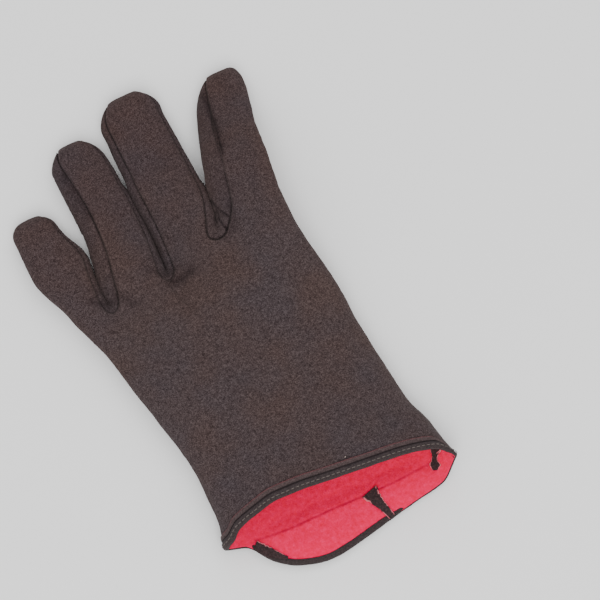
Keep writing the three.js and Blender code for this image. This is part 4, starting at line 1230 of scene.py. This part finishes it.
# Lint on the back, and a thread end at the cuff's corner: x, y, z, height above the cloth, direction, length, radius.
LINT = [
    (31.8, -75.0, 34, 0.2, 0.6, 0.9, 0.2),
    (32.1, -74.7, 34, 0.2, 2.3, 0.7, 0.17),
    (-42.6, -82.6, 3, 1.3, 1.9, 2.0, 0.24),
]
surface = BVHTree.FromPolygons(shell.tolist(), FACES.tolist())
points, faces = [], []
for x, y, z, height, direction, length, radius in LINT:
    hit, normal, _, _ = surface.find_nearest(Vector((x, y, z)))
    along = np.array([math.cos(direction), math.sin(direction), 0.0])
    out = np.array(normal)
    along = unit(along - out * (out @ along))
    add_stitch(points, faces, np.array(hit) + out * height, along, out, length, radius)
lint = make_object("lint", points, faces)
dress(lint, thread_material("lint_fibre", 3.2), None)

# Spare cloth of the seams, on the lining: node, name, how pale its second side's edge is, and for each place along
# the strip: x, y, half its width.
SPARES = [
    ("palm_seam_allowance", "palm_seam_spare", 1.0,
     [(37.2, -92.6, 5.0), (38.2, -96.5, 3.6), (39.8, -101.5, 2.4), (42.0, -109.0, 1.7)]),
    ("thumb_side_allowance", "thumb_seam_spare", 1.0,
     [(78.2, -88.6, 3.2), (76.6, -91.0, 1.7), (75.3, -92.8, 1.4), (74.0, -95.6, 2.9), (73.0, -98.0, 1.3)]),
    ("little_side_allowance", "little_seam_spare", 0.0,
     [(-27.5, -90.9, 2.9), (-23.0, -96.2, 2.6), (-18.6, -100.8, 1.7), (-15.0, -103.8, 0.5)]),
]
SPARE_GAP = 0.15
SPARE_STEPS, SPARE_ACROSS = 40, 21
SMALLEST_CUT = 0.0101
# Rays from above find the lining. A ray that misses takes the nearest place to a point at the second height.
RAY_START, RAY_MISSED = 60, 4
DOWN = Vector((0, 0, -1))
spare_cloth = spare_material("spare_cloth")
palm_faces = FACES[np.isin(FACE_PATCH, [PALM_BEYOND, PALM_LEFT, THUMB_HEEL])]
lining_inside = skin - base_normals * (lining_top + LINING)[:, None]
palm_inside = BVHTree.FromPolygons(lining_inside.tolist(), palm_faces.tolist())
for node, name, pale, table in SPARES:
    table = np.array(table, float)
    reach = sum_up(lengths(np.diff(table[:, :2], axis=0)))
    table = np.column_stack([reach, table])
    along = np.linspace(0, reach[-1], SPARE_STEPS)
    middle = np.stack([read(table, 1, along), read(table, 2, along)], axis=1)
    ahead = np.gradient(middle, axis=0)
    ahead /= lengths(ahead)[:, None]
    share = np.linspace(-1, 1, SPARE_ACROSS)
    points, normals, shares = [], [], []
    for k in range(len(along)):
        for t in share:
            ragged = 1 + 0.2 * noise.noise(Vector((along[k] * 0.9, 3.0 * np.sign(t), reach[-1])))
            sideways = float(read(table, 3, along[k])) * t * ragged
            place = middle[k] + np.array([ahead[k, 1], -ahead[k, 0]]) * sideways
            hit, normal, _, _ = palm_inside.ray_cast(Vector((*place, RAY_START)), DOWN)
            if hit is None:
                hit, normal, _, _ = palm_inside.find_nearest(Vector((*place, RAY_MISSED)))
            normal = normal if normal.z > 0 else -normal
            points.append(hit)
            normals.append(normal)
            shares.append(max(-t, t * pale))
    points, normals, shares = np.array(points), np.array(normals), np.array(shares)
    faces = quads(np.arange(len(points)).reshape(len(along), len(share)), False)
    if normals_of(points, faces)[:, 2].mean() < 0:
        faces = faces[:, ::-1]
    made, used = sheet_mesh(name, points, normals, faces, -SPARE_GAP - ALLOWANCE, -SPARE_GAP)
    add_attribute(made, "edge", np.tile(shares[used], 2))
    dress(made, spare_cloth, node)
    area = area_of(points, faces)
    wide = max(SMALLEST_CUT, 2 * table[:, 3].max() * MM)
    long_ = max(SMALLEST_CUT, reach[-1] * MM * 1.2, area / wide)

# The floor, just under the glove, the lights and the camera.
FLOOR_GAP = 0.0003
floor_mesh = bpy.data.meshes.new("floor")
floor_mesh.from_pydata([(-3, -3, 0), (3, -3, 0), (3, 3, 0), (-3, 3, 0)], [], [(0, 1, 2, 3)])
floor = show("floor", floor_mesh)
floor.location.z = -FLOOR_GAP
m = Material("pale_floor")
shades = m.ramp(m.noise(0.3), (0.3, 0.93), (0.7, 0.95))
floor_mesh.materials.append(m.finish(shades, m.bump(m.noise(0.01), 0.0001, 0.1), 0.9))

world = bpy.data.worlds.new("studio")
bpy.context.scene.world = world
world.use_nodes = True
background = world.node_tree.nodes["Background"].inputs
background["Color"].default_value = (1.0, 1.0, 1.0, 1)
background["Strength"].default_value = 0.98


def aim(made, place, target):
    made.location = place
    made.rotation_euler = (target - place).to_track_quat("-Z", "Y").to_euler()


def area_light(name, place, target, size, power):
    """A square lamp that looks from a place at a target. Its size is in metres, its power in watts."""
    data = bpy.data.lights.new(name, "AREA")
    data.shape = "SQUARE"
    data.size = size
    data.energy = power
    aim(show(name, data), Vector(place), Vector(target))


area_light("softbox", (-0.35, -1.0, 1.5), (0, -0.02, 0), 1.0, 20)
area_light("fill", (0.7, 0.8, 1.5), (0, 0, 0), 1.4, 7)

# The camera stands in front of the cuff, to its left and high above it, and looks at the palm's thumb side.
AZIMUTH, ELEVATION, DISTANCE = math.radians(-27), math.radians(74), 1.1
target = Vector((0.0529, 0.0163, 0.0))
back = Vector((
    math.sin(AZIMUTH) * math.cos(ELEVATION), -math.cos(AZIMUTH) * math.cos(ELEVATION), math.sin(ELEVATION)
))
camera_data = bpy.data.cameras.new("camera")
camera_data.sensor_width = 36
camera_data.lens = 124.53
camera = show("camera", camera_data)
camera.location = target + back * DISTANCE
camera.rotation_euler = (-back).to_track_quat("-Z", "Y").to_euler()
bpy.context.scene.camera = camera
